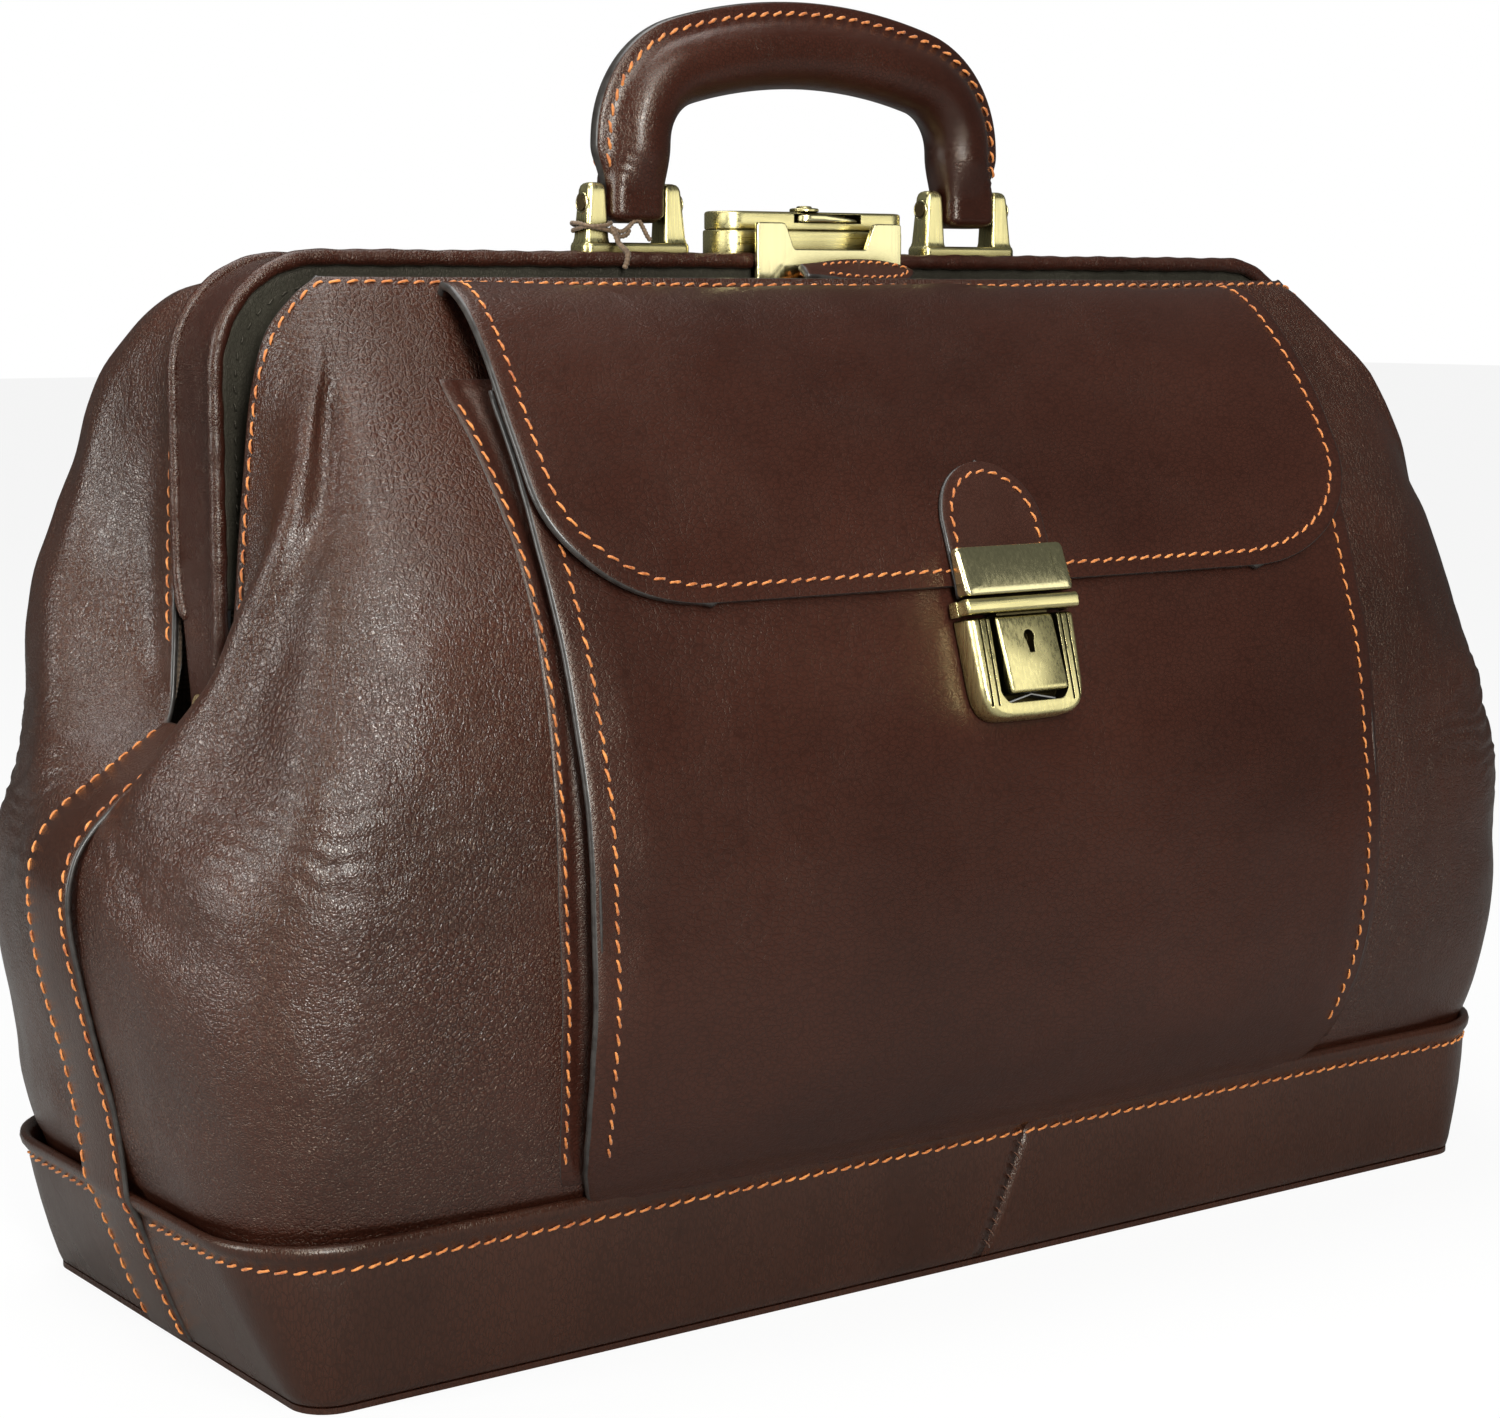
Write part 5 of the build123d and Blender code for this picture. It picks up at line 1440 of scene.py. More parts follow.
def handle():
    path = handle_path()
    along = unit(np.gradient(path, axis=0))
    out = np.column_stack([-along[:, 1], along[:, 0]])
    angles = np.sort(np.mod(np.concatenate([
        np.linspace(-0.30, 0.30, 17), np.linspace(0.36, 2 * math.pi - 0.36, 55)]), 2 * math.pi))
    cosines, sines = np.cos(angles), np.sin(angles)
    off_ridge = np.minimum(angles, 2 * math.pi - angles)
    grip = outline_radius(
        np.array(GRIP_SECTION + [(u, -v) for u, v in GRIP_SECTION[-2:0:-1]]), angles)
    foot = outline_radius(np.array(round_rect(0, 0, 17.0, 12.6, 3.6, 8)), angles)
    places = arc_lengths(path)
    total = places[-1]
    from_end = np.minimum(places, total - places)
    rings = []
    for (x, z), (out_x, out_z), place, end in zip(path, out, places, from_end):
        f = np.clip((end - 7.5) / 13.0, 0, 1)
        f = f * f * (3 - 2 * f)
        radii = foot * (1 - f) + grip * f
        if end < 2.2:
            radii = radii * (1 - 0.34 * (1 - end / 2.2) ** 2)
        # the hand-worn middle is a little fuller, the legs a little slimmer
        swell = 1.0 + 0.035 * math.sin(math.pi * place / total) - 0.02
        outward = cosines * radii * (swell if f > 0 else 1)
        ring = np.column_stack([x + out_x * outward, HANDLE_Y + sines * radii,
                                z + out_z * outward])
        if 8 < end < 34:
            # gathered creases above the feet
            crease = (0.42 * math.exp(-((end - 17) / 9) ** 2)
                      * np.exp(-((off_ridge - 0.78) / 0.22) ** 2)
                      * np.sin(end * 2.1 + 5 * off_ridge + (3 if x > 0 else 0)))
            ring += (np.column_stack([out_x * cosines, sines, out_z * cosines])
                     * crease[:, None])
        rings.append(ring)
    painted = np.maximum(off_ridge, np.roll(off_ridge, -1)) < 0.165
    index = np.concatenate([np.tile(painted, len(rings) - 1), [0, 0]])
    ob = add_mesh("handle_grip_wrap", np.vstack(rings), skin_faces(len(rings), len(angles)),
                  [HANDLE_LEATHER, EDGE_PAINT], HANDLE, index)
    sharp(ob, 50)
    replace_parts(ob, "handle_grip_leather")
    keep = from_end >= 13.0
    line, out = path[keep] + out[keep] * 9.3, out[keep]
    for side, tag in ((-1, "front"), (1, "rear")):
        points = np.column_stack([line[:, 0], np.full(len(line), HANDLE_Y + side * 3.25),
                                  line[:, 1]])
        normals = unit(np.column_stack([out[:, 0] * 0.25, np.full(len(line), side * 0.95),
                                        out[:, 1] * 0.25]))
        sew(f"stitch_handle_{tag}", points, normals, HANDLE, step=1.5, pitch=4.3, length=3.5,
            radius=0.44, lean=16 * -side, lift=0.05)


handle()

# ------------------------------------------------------------ handle brackets
BRACKET_WIDTH, BRACKET_DEPTH = 34.2, 9.6
SCREW_Z, SCREW_X = 288, 15.25
# Plate: height, inset, corner radius
PLATE_ROWS = ((273.0, 0.0, 2.4), (273.05, 0.0, 2.4), (276.5, 0.0, 2.4), (277.0, 0.12, 2.3),
              (277.4, 0.45, 2.0), (277.6, 0.95, 1.6))
# Post: height, inner and outer distance from the bracket's middle, depth, corner radius
POST_ROWS = ((277.2, 8.55, 16.7, 8.6, 1.3), (277.75, 8.75, 16.35, 7.9, 1.2),
             (278.8, 8.88, 16.05, 7.3, 1.1), (282, 8.98, 15.75, 7.0, 1.1),
             (286, 9.1, 15.4, 6.7, 1.15), (290, 9.22, 15.05, 6.35, 1.2),
             (291.6, 9.3, 14.9, 6.15, 1.25), (292.6, 9.55, 14.6, 5.6, 1.3),
             (293.2, 10.0, 14.1, 4.6, 1.3), (293.5, 10.8, 13.3, 3.0, 1.2))
# Ring and screw head on the post's outer face: distance out, radius
SCREW_RING_ROWS = ((-0.1, 2.95), (0.25, 2.9), (0.4, 2.65), (0.2, 2.45))
SCREW_HEAD_ROWS = ((-0.2, 2.4), (0.12, 2.35), (0.3, 2.1), (0.38, 1.2))


def bracket(name, middle_x, node):
    plate = [[(x, y, z) for x, y in round_rect(middle_x, HANDLE_Y, BRACKET_WIDTH - 2 * inset,
                                               BRACKET_DEPTH - 2 * inset, radius, 5)]
             for z, inset, radius in PLATE_ROWS]
    parts = [loft(name + "_plate", plate, [BRASS_ALONG], REAR, angle=30)]
    for side in (-1, 1):
        post = [[(x, y, z) for x, y in round_rect(middle_x + side * (inner + outer) / 2, HANDLE_Y,
                                                  outer - inner, depth, radius, 5)]
                for z, inner, outer, depth, radius in POST_ROWS]
        parts.append(loft(f"{name}_post{side}", post, [BRASS_UP], REAR, angle=34))
        face_x = middle_x + side * SCREW_X
        ring, head = [
            [[(face_x + side * out, y, z) for y, z in circle(HANDLE_Y, SCREW_Z, radius, 24)]
             for out, radius in rows] for rows in (SCREW_RING_ROWS, SCREW_HEAD_ROWS)]
        parts.append(loft(f"{name}_ring{side}", ring, [BRASS_BRIGHT], REAR))
        # the head stays an object of its own
        loft(f"{name}_head{'l' if side < 0 else 'r'}", head, [SCREW_BRASS], REAR)
    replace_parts(join(name, parts, REAR), node)


bracket("bracket_left", -HANDLE_X, "handle_bracket_left")
bracket("bracket_right", HANDLE_X, "handle_bracket_right")

# ------------------------------------------------------------------ frame lock
FRAME_LOCK_X, FRAME_LOCK_Y = 1.0, -0.4
FRAME_LOCK_LENGTH, FRAME_LOCK_DEPTH = 66.0, 15.0
# Height, inset
LOCK_BASE_ROWS = ((273.0, 0.0), (273.05, 0.0), (280.9, 0.0), (281.25, 0.12), (281.45, 0.4),
                  (281.5, 0.8))
LOCK_CASE_ROWS = ((281.55, 0.9), (281.6, 0.6), (281.8, 0.45), (282.0, 0.42), (285.8, 0.42),
                  (286.25, 0.6), (286.52, 1.0), (286.6, 1.5))
# Recess for the lever in the front of the case: x, y
LEVER_RECESS = [(-7.6, -20), (-7.6, -0.2), (15.4, -0.2), (17.0, -20)]
LEVER_X, LEVER_Y = -2.0, -4.6
LEVER_CENTRE = (LEVER_X + 2.0, LEVER_Y - 0.6)
# The lever's pointed end, from its pivot: x, y
LEVER_POINT = [(4, -4.4), (8, -4.32), (12, -4.1), (14.6, -3.9), (15.9, -3.5), (16.3, -3.0),
               (15.8, -2.6), (13, -1.9), (9.5, -0.6), (6, 1.6), (3.6, 3.3)]
# Scale of the lever's outline, and the ring's height from the height of the top face
LEVER_ROWS = ((0.90, lambda top: 283.85), (0.95, lambda top: 283.8), (1.0, lambda top: 284.0),
              (1.0, lambda top: max(top - 0.45, 284.2)), (0.965, lambda top: top - 0.12),
              (0.9, lambda top: top))
# Height, radius
LEVER_CAP_ROWS = ((286.3, 1.9), (286.62, 1.9), (286.65, 3.9), (286.8, 4.1), (287.35, 4.1),
                  (287.6, 3.8), (287.7, 3.2), (287.72, 2.2), (288.1, 2.1), (288.25, 1.8),
                  (288.3, 1.0))
LEVER_SHAFT_ROWS = ((276.8, 1.9), (286.5, 1.9))


def stadium(length, depth):
    """Outline with round ends; points along the straight sides keep the shading even."""
    radius = depth / 2
    reach = length / 2 - radius
    points = []
    for side, start in ((1, -math.pi / 2), (-1, math.pi / 2)):
        for k in range(23):
            a = start + math.pi * k / 22
            points.append((FRAME_LOCK_X + side * reach + radius * math.cos(a),
                           FRAME_LOCK_Y + radius * math.sin(a)))
    outline = []
    for here, after in zip(points, points[1:] + points[:1]):
        outline.append(here)
        if math.dist(here, after) > 10:
            for k in range(1, 12):
                outline.append((here[0] + (after[0] - here[0]) * k / 12,
                                here[1] + (after[1] - here[1]) * k / 12))
    return outline


def stadium_loft(name, rows):
    rings = [[(x, y, z) for x, y in stadium(FRAME_LOCK_LENGTH - 2 * inset,
                                            FRAME_LOCK_DEPTH - 2 * inset)] for z, inset in rows]
    return loft(name, rings, [BRASS_ALONG], REAR, angle=30)


def lever_top(x):
    return float(np.interp(x, [LEVER_X - 4.4, LEVER_X + 3.5, LEVER_X + 8, LEVER_X + 16.3],
                           [285.95, 285.95, 285.5, 284.7]))


def frame_lock_lever():
    outline = []
    for k in range(19):
        a = math.pi * 0.40 + math.pi * 1.10 * k / 18
        outline.append((LEVER_X + 4.4 * math.cos(a), LEVER_Y + 4.4 * math.sin(a)))
    outline += [(LEVER_X + x, LEVER_Y + y) for x, y in LEVER_POINT]
    body = [[(x, y, height(lever_top(x))) for x, y in scaled(outline, LEVER_CENTRE, scale)]
            for scale, height in LEVER_ROWS]
    cap, shaft = [[[(x, y, z) for x, y in circle(LEVER_X, LEVER_Y, radius)] for z, radius in rows]
                  for rows in (LEVER_CAP_ROWS, LEVER_SHAFT_ROWS)]
    parts = [loft("lever_body", body, [BRASS_BRIGHT], LEVER, angle=50),
             loft("lever_cap", cap, [BRASS_UP], LEVER),
             loft("lever_shaft", shaft, [BRASS_PAINTED_SHADE], LEVER)]
    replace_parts(join("lock_thumb_lever", parts, LEVER), "frame_lock_lever")


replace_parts(stadium_loft("lock_base_shell", LOCK_BASE_ROWS), "frame_lock_base")
lock_case = stadium_loft("lock_case_shell", LOCK_CASE_ROWS)
cut(lock_case, LEVER_RECESS, 283.55, 286.05, flat, REAR)
sharp(lock_case, 30)
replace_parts(lock_case, "frame_lock_case")
frame_lock_lever()

# --------------------------------------------------------------- hasp plate
HASP_HALF, HASP_LOW, HASP_FACE_REAR = 25, 262.9, -12.8
# Front view of the plate, notched between its two ears: x, z
HASP_FACE = [(-HASP_HALF, HASP_LOW), (HASP_HALF, HASP_LOW), (HASP_HALF, 283.4), (15.5, 283.4),
             (12.5, 276.2), (-12.5, 276.2), (-15.5, 283.4), (-HASP_HALF, 283.4)]
HASP_CORNERS = [0.5, 0.5, 1.0, 1.2, 0.7, 0.7, 1.2, 1.0]
# Plan views: x, y
HASP_FOOT = [(-HASP_HALF, -23.5), (HASP_HALF, -23.5), (HASP_HALF, HASP_FACE_REAR),
             (-HASP_HALF, HASP_FACE_REAR)]
HASP_TONGUE = [(-6, -13.2), (6, -13.2), (6, -5.9), (1.2, -5.9), (1.2, -2.4), (-6, -2.4)]

hasp_parts = [
    prism("hasp_face", round_corners(HASP_FACE, HASP_CORNERS), upright, -14.4, HASP_FACE_REAR,
          BRASS_BRIGHT, ROOT, bevel_width=0.32),
    prism("hasp_foot", HASP_FOOT, flat, HASP_LOW, 264.5, BRASS_ALONG, ROOT, bevel_width=0.3),
    prism("hasp_tongue", HASP_TONGUE, flat, 274.8, 276.1, BRASS_ALONG, ROOT, bevel_width=0.25)]
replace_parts(join("hasp_plate_face", hasp_parts, ROOT), "hasp_plate")

# -------------------------------------------------------------- press lock
LOCK_ORIGIN = np.array([0.0, -92.9, 172.0])
# Outlines in the lock's face: x, distance up the face
ESCUTCHEON = [(-18, 8), (18, 8), (17.75, -1), (17.4, -11.2), (16.9, -14.4), (15.4, -17.2),
              (13.2, -18.6), (10.6, -19.2), (0, -19.4), (-10.6, -19.2), (-13.2, -18.6),
              (-15.4, -17.2), (-16.9, -14.4), (-17.4, -11.2), (-17.75, -1)]
RECESS = [(-11.6, 9.5), (11.6, 9.5), (11.6, -12.4), (9.4, -15.2), (-9.4, -15.2), (-11.6, -12.4)]
KEY_HALF, KEY_LOW, KEY_TOP = 9.6, -12.8, 7.4
BLOCK_HALF, BLOCK_LOW, BLOCK_TOP = 18.25, 13.2, 26.5
COLLAR_UP, COLLAR_END = 10.6, 19.0
COLLAR_X = np.concatenate([[-19.0, -18.9, -18.6], np.linspace(-18, 18, 13), [18.6, 18.9, 19.0]])


def on_lock(x, up, out):
    return LOCK_ORIGIN + np.array([x, 0, 0]) + LOCK_UP * up + LOCK_OUT * out


def lock_rings(outline, centre_up, rows, height):
    """Rings over a lock outline; each row is a level and a scale.

    height(x, up, level) gives the distance out of the face.
    """
    return [[on_lock(x, up, height(x, up, level))
             for x, up in scaled(outline, (0.0, centre_up), scale)] for level, scale in rows]


def box(half, low, top):
    return [(-half, low), (half, low), (half, top), (-half, top)]


def escutcheon():
    """Raised sides with two grooves each, a rounded foot and a recessed field."""
    rings = lock_rings(round_corners(ESCUTCHEON, 1.0, 3), -5.5,
                       ((0.3, 1.0), (0.6, 1.0), (5.0, 0.985), (6.2, 0.965), (6.75, 0.935),
                        (6.95, 0.90)), lambda x, up, level: level)
    shell = loft("escutcheon_body", rings, [BRASS_UP, BRASS_PAINTED_SHADE], ROOT)
    cut(shell, round_corners(RECESS, 1.2, 4), 2.0, 12.0, on_lock)
    for side in (-1, 1):
        for inner, outer in ((12.5, 13.1), (14.6, 15.2)):
            left, right = sorted((side * inner, side * outer))
            groove = [(left, 10), (right, 10), (right, -15.6), (left, -15.6)]
            cut(shell, groove, 6.0, 12.0, on_lock)
    sharp(shell, 30)
    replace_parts(shell, "press_lock_case")


def key_plate():
    """Slanted wedge with a keyhole."""
    foot, low_out, top_out = 2.3, 9.4, 7.4

    def height(x, up, level):
        top = low_out + (top_out - low_out) * (up - KEY_LOW) / (KEY_TOP - KEY_LOW)
        return foot + (top - foot) * level

    rings = lock_rings(round_corners(box(KEY_HALF, KEY_LOW, KEY_TOP), 1.0, 3), -2.7,
                       ((0.0, 1.0), (0.6, 1.0), (0.9, 1.0), (0.965, 0.975), (1.0, 0.93)), height)
    plate = loft("key_plate_body", rings, [BRASS_UP, BRASS_PAINTED_SHADE], SLIDER)
    keyhole = [(1.75 * math.cos(a), 1.8 + 1.75 * math.sin(a))
               for a in np.linspace(-0.25 * math.pi, 1.25 * math.pi, 18)]
    cut(plate, keyhole + [(-0.85, -2.6), (0.85, -2.6)], 5.2, 14.0, on_lock)
    sharp(plate, 30)
    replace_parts(plate, "press_lock_slider")


def hasp_block():
    """Block over the catch, fixed on the flap tab."""
    foot = 4.1

    def height(x, up, level):
        top = float(np.interp(up, [BLOCK_LOW, 17, 22, BLOCK_TOP], [8.2, 8.1, 7.4, 6.0]))
        crown = 0.5 * (1 - (x / BLOCK_HALF) ** 2) * max(0, level - 0.7)
        return foot + (top - foot) * level + crown

    rings = lock_rings(round_corners(box(BLOCK_HALF, BLOCK_LOW, BLOCK_TOP), 1.6, 4), 19.8,
                       ((0.0, 1.0), (0.5, 1.0), (0.8, 0.995), (0.92, 0.98), (1.0, 0.94),
                        (1.02, 0.85), (1.03, 0.7)), height)
    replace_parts(loft("hasp_block", rings, [BRASS_BRIGHT], FLAP, angle=45), "press_lock_hasp")


def lock_collar():
    """Bar across the lock with a wing at each end and a foot under the block."""
    bar = []
    for x in COLLAR_X:
        scale = 1.0 - 0.25 * max(0, (abs(x) - 18.4) / 0.6) ** 2
        section = round_rect(COLLAR_UP, 6.1, 4.1 * scale, 4.9 * scale, 1.2, 4)
        bar.append([on_lock(x, up, out) for up, out in section])
    parts = [loft("collar_bar", bar, [BRASS_ALONG], FLAP)]
    wing_out = 2.3
    section = round_rect(COLLAR_UP, wing_out, 4.1, 3.4, 0.6, 3)
    for side in (-1, 1):
        left, right = sorted((side * 17.7, side * COLLAR_END))
        wing = [[on_lock(x, up, out)
                 for up, out in scaled(section, (COLLAR_UP, wing_out), scale)]
                for x, scale in ((left, 0.94), (left + 0.15, 1.0), (right - 0.15, 1.0),
                                 (right, 0.94))]
        parts.append(loft(f"collar_wing{side}", wing, [BRASS_ALONG], FLAP))
    parts.append(prism("collar_foot", box(9, 12.4, 17.0), on_lock, 3.0, 4.0, BRASS_PAINTED_SHADE, FLAP,
                       bevel_width=0.15))
    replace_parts(join("lock_collar_bar", parts, FLAP), "press_lock_collar")


escutcheon()
key_plate()
hasp_block()
lock_collar()

# ---------------------------------------------------------------- pull tab
PULL_ORIGIN = np.array([-13.0, -18.6, 268.9])
PULL_ACROSS = np.array([0.0, 0.78, 0.62])
PULL_OUT = np.array([0.0, -0.62, 0.78])
# Leaf outline: x from the root, distance across
PULL_OUTLINE = smooth_curve([
    (0, -2.2), (4, -2.5), (9, -3.4), (14, -4.5), (19, -5.2), (24, -5.4), (29, -5.0), (33, -4.0),
    (36.4, -2.0), (37.8, -0.2), (36.6, 1.6), (33, 3.2), (29, 4.2), (24, 4.6), (19, 4.6),
    (14, 4.2), (9, 3.4), (4, 2.6), (0, 2.2)], 4)


def on_pull(x, across, out):
    return PULL_ORIGIN + np.array([x, 0, 0]) + PULL_ACROSS * across + PULL_OUT * out


def pull_tab():
    tip = len(PULL_OUTLINE) // 2
    lower, upper = [half[np.argsort(half[:, 0])]
                    for half in (PULL_OUTLINE[:tip + 1], PULL_OUTLINE[tip:])]
    spine = np.linspace(0, 37.6, 46)
    grid = np.zeros((13, len(spine), 3))
    for j, x in enumerate(spine):
        low = np.interp(x, lower[:, 0], lower[:, 1])
        high = np.interp(x, upper[:, 0], upper[:, 1])
        if high - low < 0.6:
            middle = (low + high) / 2
            low, high = middle - 0.3, middle + 0.3
        for i in range(13):
            c = i / 12
            out = 2.4 + 0.25 * math.sin(math.pi * c) - 0.35 * (x / 38) ** 2
            grid[i, j] = on_pull(x, low + (high - low) * c, out)
    sheet("pull_tab_leather", grid, 2.3, [TAB_LEATHER, EDGE_PAINT], PULL,
          PULL_OUT, replaces=("pull_tab",), round_rim=0.35)


def sew_pull_tab():
    # the outline drawn in about the leaf's middle, away from the root
    inset = [(19 + (x - 19) * (1 - 1.7 / 19), -0.3 + (across + 0.3) * 0.66)
             for x, across in PULL_OUTLINE]
    inset = [(x, across) for x, across in inset if x > 5.5]
    for tag, out, normal in (("front", -0.05, -PULL_OUT), ("back", 2.45, PULL_OUT)):
        sew(f"stitch_pull_tab_{tag}", [on_pull(x, across, out) for x, across in inset], normal,
            PULL, step=1.0, pitch=2.7, length=2.1, radius=0.3, lean=14, lift=0.1)
    threads = []
    for start, end in (((0.6, -1.7), (4.8, 1.9)), ((0.6, 1.8), (4.8, -1.8))):
        start, end = on_pull(*start, -0.35), on_pull(*end, -0.35)
        path = resample([start, (start + end) / 2 - PULL_OUT * 0.35, end], 10)
        threads.append(tube("cross", path, 0.5, 10, ORANGE_THREAD, PULL))
    join("stitch_pull_tab_cross", threads, PULL)


pull_tab()
sew_pull_tab()

# ---------------------------------------------------- cord round the bracket
CORD_RING_X = -HANDLE_X - 12.4
# Loose runs of cord: points, radius, samples
CORD_RUNS = [
    ([(-67.6, -5.9, 281.4), (-66.6, -6.6, 280.0), (-66.0, -7.6, 277.4), (-65.6, -9.6, 275.8),
      (-65.8, -11.6, 274.6), (-66.4, -12.1, 272.4), (-66.9, -11.6, 270.6)], 0.75, 50),
    ([(-67.4, -5.9, 281.6), (-64.4, -6.2, 280.4), (-61.8, -5.9, 281.6), (-59.9, -5.8, 283.2),
      (-58.4, -5.9, 283.3), (-57.2, -6.1, 281.6), (-56.0, -6.3, 279.4), (-55.0, -6.4, 278.2)],
     0.62, 60),
    ([(-67.8, -5.6, 281.0), (-65.0, -6.3, 279.2), (-62.6, -6.2, 279.6), (-61.4, -5.8, 281.0)],
     0.6, 30),
]


def cord_ring(z, slack):
    """Squarish loop round the left post of the left bracket."""

    def squared(value):
        return math.copysign(abs(value) ** 0.7, value)

    return [(CORD_RING_X + (4.55 + slack) * squared(math.cos(a)),
             HANDLE_Y + (4.45 + slack) * squared(math.sin(a)),
             z + 0.5 * math.sin(a * 2 + slack * 9)) for a in np.linspace(0, 2 * math.pi, 26)]


def bracket_cord():
    rings = [(cord_ring(281.2, 0.0), 0.55, 90), (cord_ring(282.3, 0.25), 0.55, 90)]
    parts = []
    for points, radius, count in rings + CORD_RUNS:
        path = resample(smooth_curve(points, 10), count)
        radii = radius * (1 + 0.16 * np.sin(np.arange(count) * 1.9))
        parts.append(tube("cordpiece", path, radii, 9, CORD_THREAD, REAR,
                          up=(0.3, 0.2, 1)))
    join("bracket_cord", parts, REAR)


bracket_cord()

# ------------------------------------------- plain CAD nodes that stay visible
KEPT = {
    "base_board": FIBREBOARD, "base_bottom_leather": BAND_LEATHER,
    "front_frame": PLAIN_STEEL, "rear_frame": PLAIN_STEEL,
    "bracket_screws": SCREW_BRASS, "lock_screws": SCREW_BRASS, "handle_pins": SCREW_BRASS,
    "handle_core_rod": PLAIN_STEEL, "frame_lock_bolt": PLAIN_STEEL,
    "frame_lock_spring": PLAIN_STEEL, "hasp_rivets": BRASS_ALONG, "hinge_rivets": BRASS_BRIGHT,
    "hinge_spacers": PLAIN_STEEL, "press_lock_backplate": PLAIN_STEEL,
    "press_lock_rivets": BRASS_UP, "press_lock_spring": PLAIN_STEEL,
    "press_lock_tongue": BRASS_PAINTED_SHADE, "press_lock_cam": BLACK_STEEL,
}
for node_name, material in KEPT.items():
    ob = bpy.data.objects.get(node_name) or next(
        (o for o in bpy.data.objects if o.name.split(".")[0] == node_name), None)
    if ob is None:
        raise RuntimeError("no CAD object for " + node_name)
    if not ob.material_slots:
        ob.data.materials.append(material)
    for material_slot in ob.material_slots:
        material_slot.material = material


# ------------------------------------------------------------ floor and light
def floor_paper():
    """White paper: mostly plain glow to the camera, dim to every other ray."""
    mat = Material("floor_paper")
    tone = mat.ramp(mat.noise(mat.mapping(), scale=3.0, detail=3.0), (0.3, 0.93), (0.7, 0.96))
    seen = mat.node("ShaderNodeLightPath").outputs["Is Camera Ray"]
    dimming = mat.node("ShaderNodeMapRange", {"Value": seen, "To Min": 0.30, "To Max": 1.0})
    mat.shade({
        "Base Color": mat.multiply_colour(1.0, tone, dimming.outputs[0]),
        "Roughness": 0.9,
        "Specular IOR Level": 0.1,
    })
    glow = mat.node("ShaderNodeEmission", {"Color": (1, 1, 1, 1), "Strength": 1.0})
    mixed = mat.node("ShaderNodeMixShader", {
        "Fac": mat.math("MULTIPLY", seen, 0.90),
        1: mat.principled.outputs[0],
        2: glow.outputs[0]})
    mat.feed(mat.output, "Surface", mixed.outputs[0])
    return mat.material


def floor():
    bm = bmesh.new()
    bmesh.ops.create_grid(bm, x_segments=2, y_segments=2, size=9.0)
    mesh = bpy.data.meshes.new("floor")
    bm.to_mesh(mesh)
    bm.free()
    ob = bpy.data.objects.new("floor", mesh)
    bpy.context.scene.collection.objects.link(ob)
    mesh.materials.append(floor_paper())


def studio_world():
    """White behind the bag for the camera, a faint light for everything else."""
    world = bpy.data.worlds.new("studio")
    bpy.context.scene.world = world
    world.use_nodes = True
    nodes, links = world.node_tree.nodes, world.node_tree.links
    ambient = nodes["Background"]
    ambient.inputs["Color"].default_value = (0.95, 1.0, 0.97, 1)
    ambient.inputs["Strength"].default_value = 0.09
    backdrop = nodes.new("ShaderNodeBackground")
    backdrop.inputs["Color"].default_value = (1, 1, 1, 1)
    backdrop.inputs["Strength"].default_value = 1.0
    light_path = nodes.new("ShaderNodeLightPath")
    mixed = nodes.new("ShaderNodeMixShader")
    links.new(light_path.outputs["Is Camera Ray"], mixed.inputs["Fac"])
    links.new(ambient.outputs[0], mixed.inputs[1])
    links.new(backdrop.outputs[0], mixed.inputs[2])
    links.new(mixed.outputs[0], nodes["World Output"].inputs["Surface"])


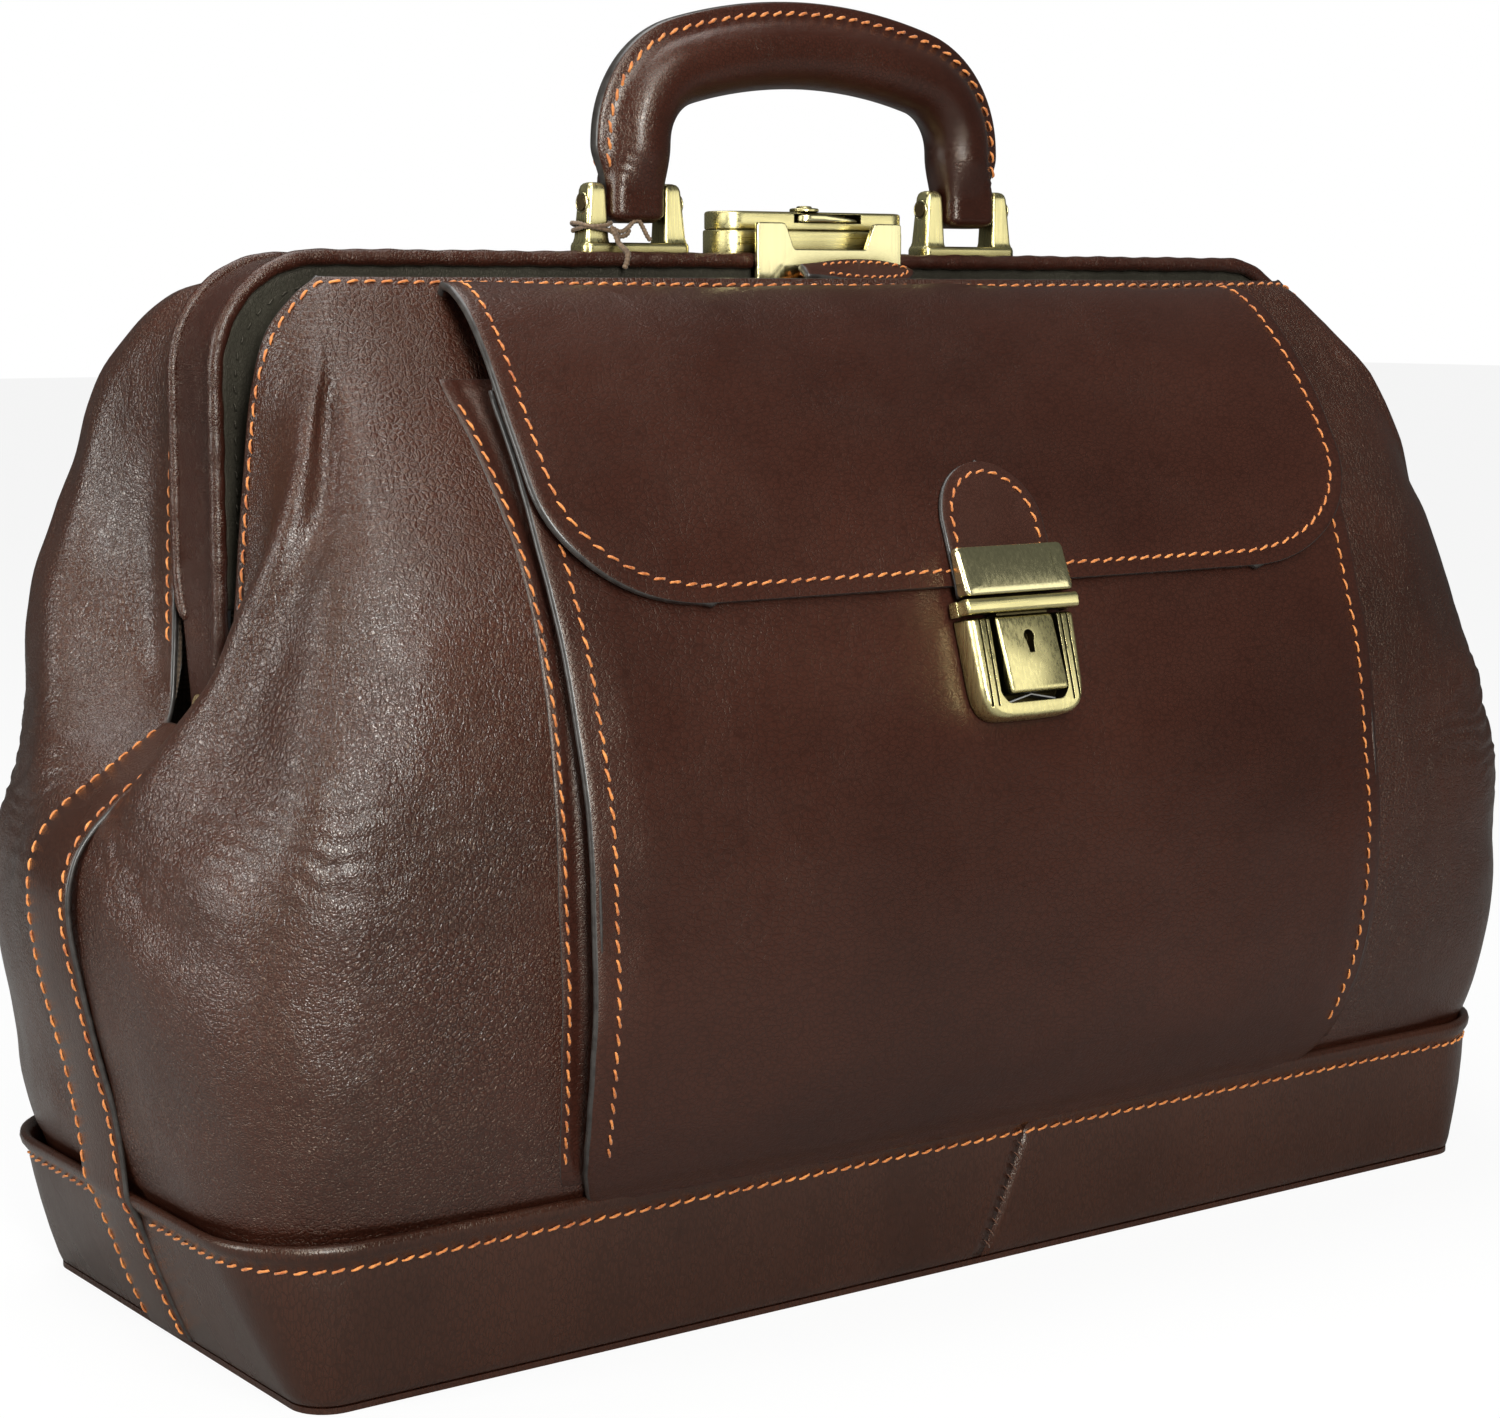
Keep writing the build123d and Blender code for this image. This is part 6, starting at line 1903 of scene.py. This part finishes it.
def area(name, where, at, size, power, colour):
    """Rectangular light at one place, aimed at another."""
    lamp = bpy.data.lights.new(name, "AREA")
    lamp.shape = "RECTANGLE"
    lamp.size, lamp.size_y = size
    lamp.energy = power
    lamp.color = colour
    ob = bpy.data.objects.new(name, lamp)
    bpy.context.scene.collection.objects.link(ob)
    ob.location = where
    ob.rotation_euler = (Vector(at) - Vector(where)).to_track_quat("-Z", "Y").to_euler()
    return ob


def metal_cards():
    """Reflector cards that light only the objects with brass or steel."""
    metal = bpy.data.collections.new("metal_fittings")
    for ob in bpy.context.scene.objects:
        if ob.type == "MESH" and any(
                slot.material and slot.material.name.split("_")[0] in ("brass", "steel")
                for slot in ob.material_slots):
            metal.objects.link(ob)
    for name, where, size, power in (("card_right", (1.35, -1.85, 0.45), (1.6, 1.3), 7.5),
                                     ("card_left", (-1.5, -0.5, 0.9), (1.0, 1.0), 5.0)):
        card = area(name, where, at=(0, 0, 0.26), size=size, power=power,
                    colour=(1.0, 1.0, 0.93))
        card.light_linking.receiver_collection = metal


def camera():
    """Camera in front of the bag and to its left, looking slightly down."""
    turn, tilt = math.radians(35.757), math.radians(7.604)
    data = bpy.data.cameras.new("camera")
    data.lens = 73.87
    data.sensor_width = 36.0
    data.sensor_fit = "AUTO"
    data.clip_start = 0.02
    ob = bpy.data.objects.new("camera", data)
    bpy.context.scene.collection.objects.link(ob)
    ob.location = (-0.5236, -0.7031, 0.2628)
    look = Vector((math.sin(turn) * math.cos(tilt), math.cos(turn) * math.cos(tilt),
                   -math.sin(tilt)))
    ob.rotation_euler = look.to_track_quat("-Z", "Y").to_euler()
    bpy.context.scene.camera = ob


floor()
studio_world()
area("strip_front", where=(-0.74, -1.95, 0.80), at=(-0.15, 0, 0.15), size=(0.42, 1.10), power=42,
     colour=(0.98, 1.0, 0.97))
area("strip_left", where=(-1.7, 0.12, 0.62), at=(-0.15, 0.02, 0.15), size=(0.50, 0.95), power=17,
     colour=(0.98, 1.0, 0.98))
area("fill_high", where=(-0.45, -1.1, 1.6), at=(0.05, 0, 0.1), size=(1.0, 0.8), power=12,
     colour=(1.0, 0.99, 0.96))
area("top_soft", where=(-0.1, 0.3, 1.5), at=(0, 0, 0.1), size=(1.1, 0.8), power=11,
     colour=(1, 1, 1))
metal_cards()
camera()
bpy.context.scene.view_settings.view_transform = "Standard"
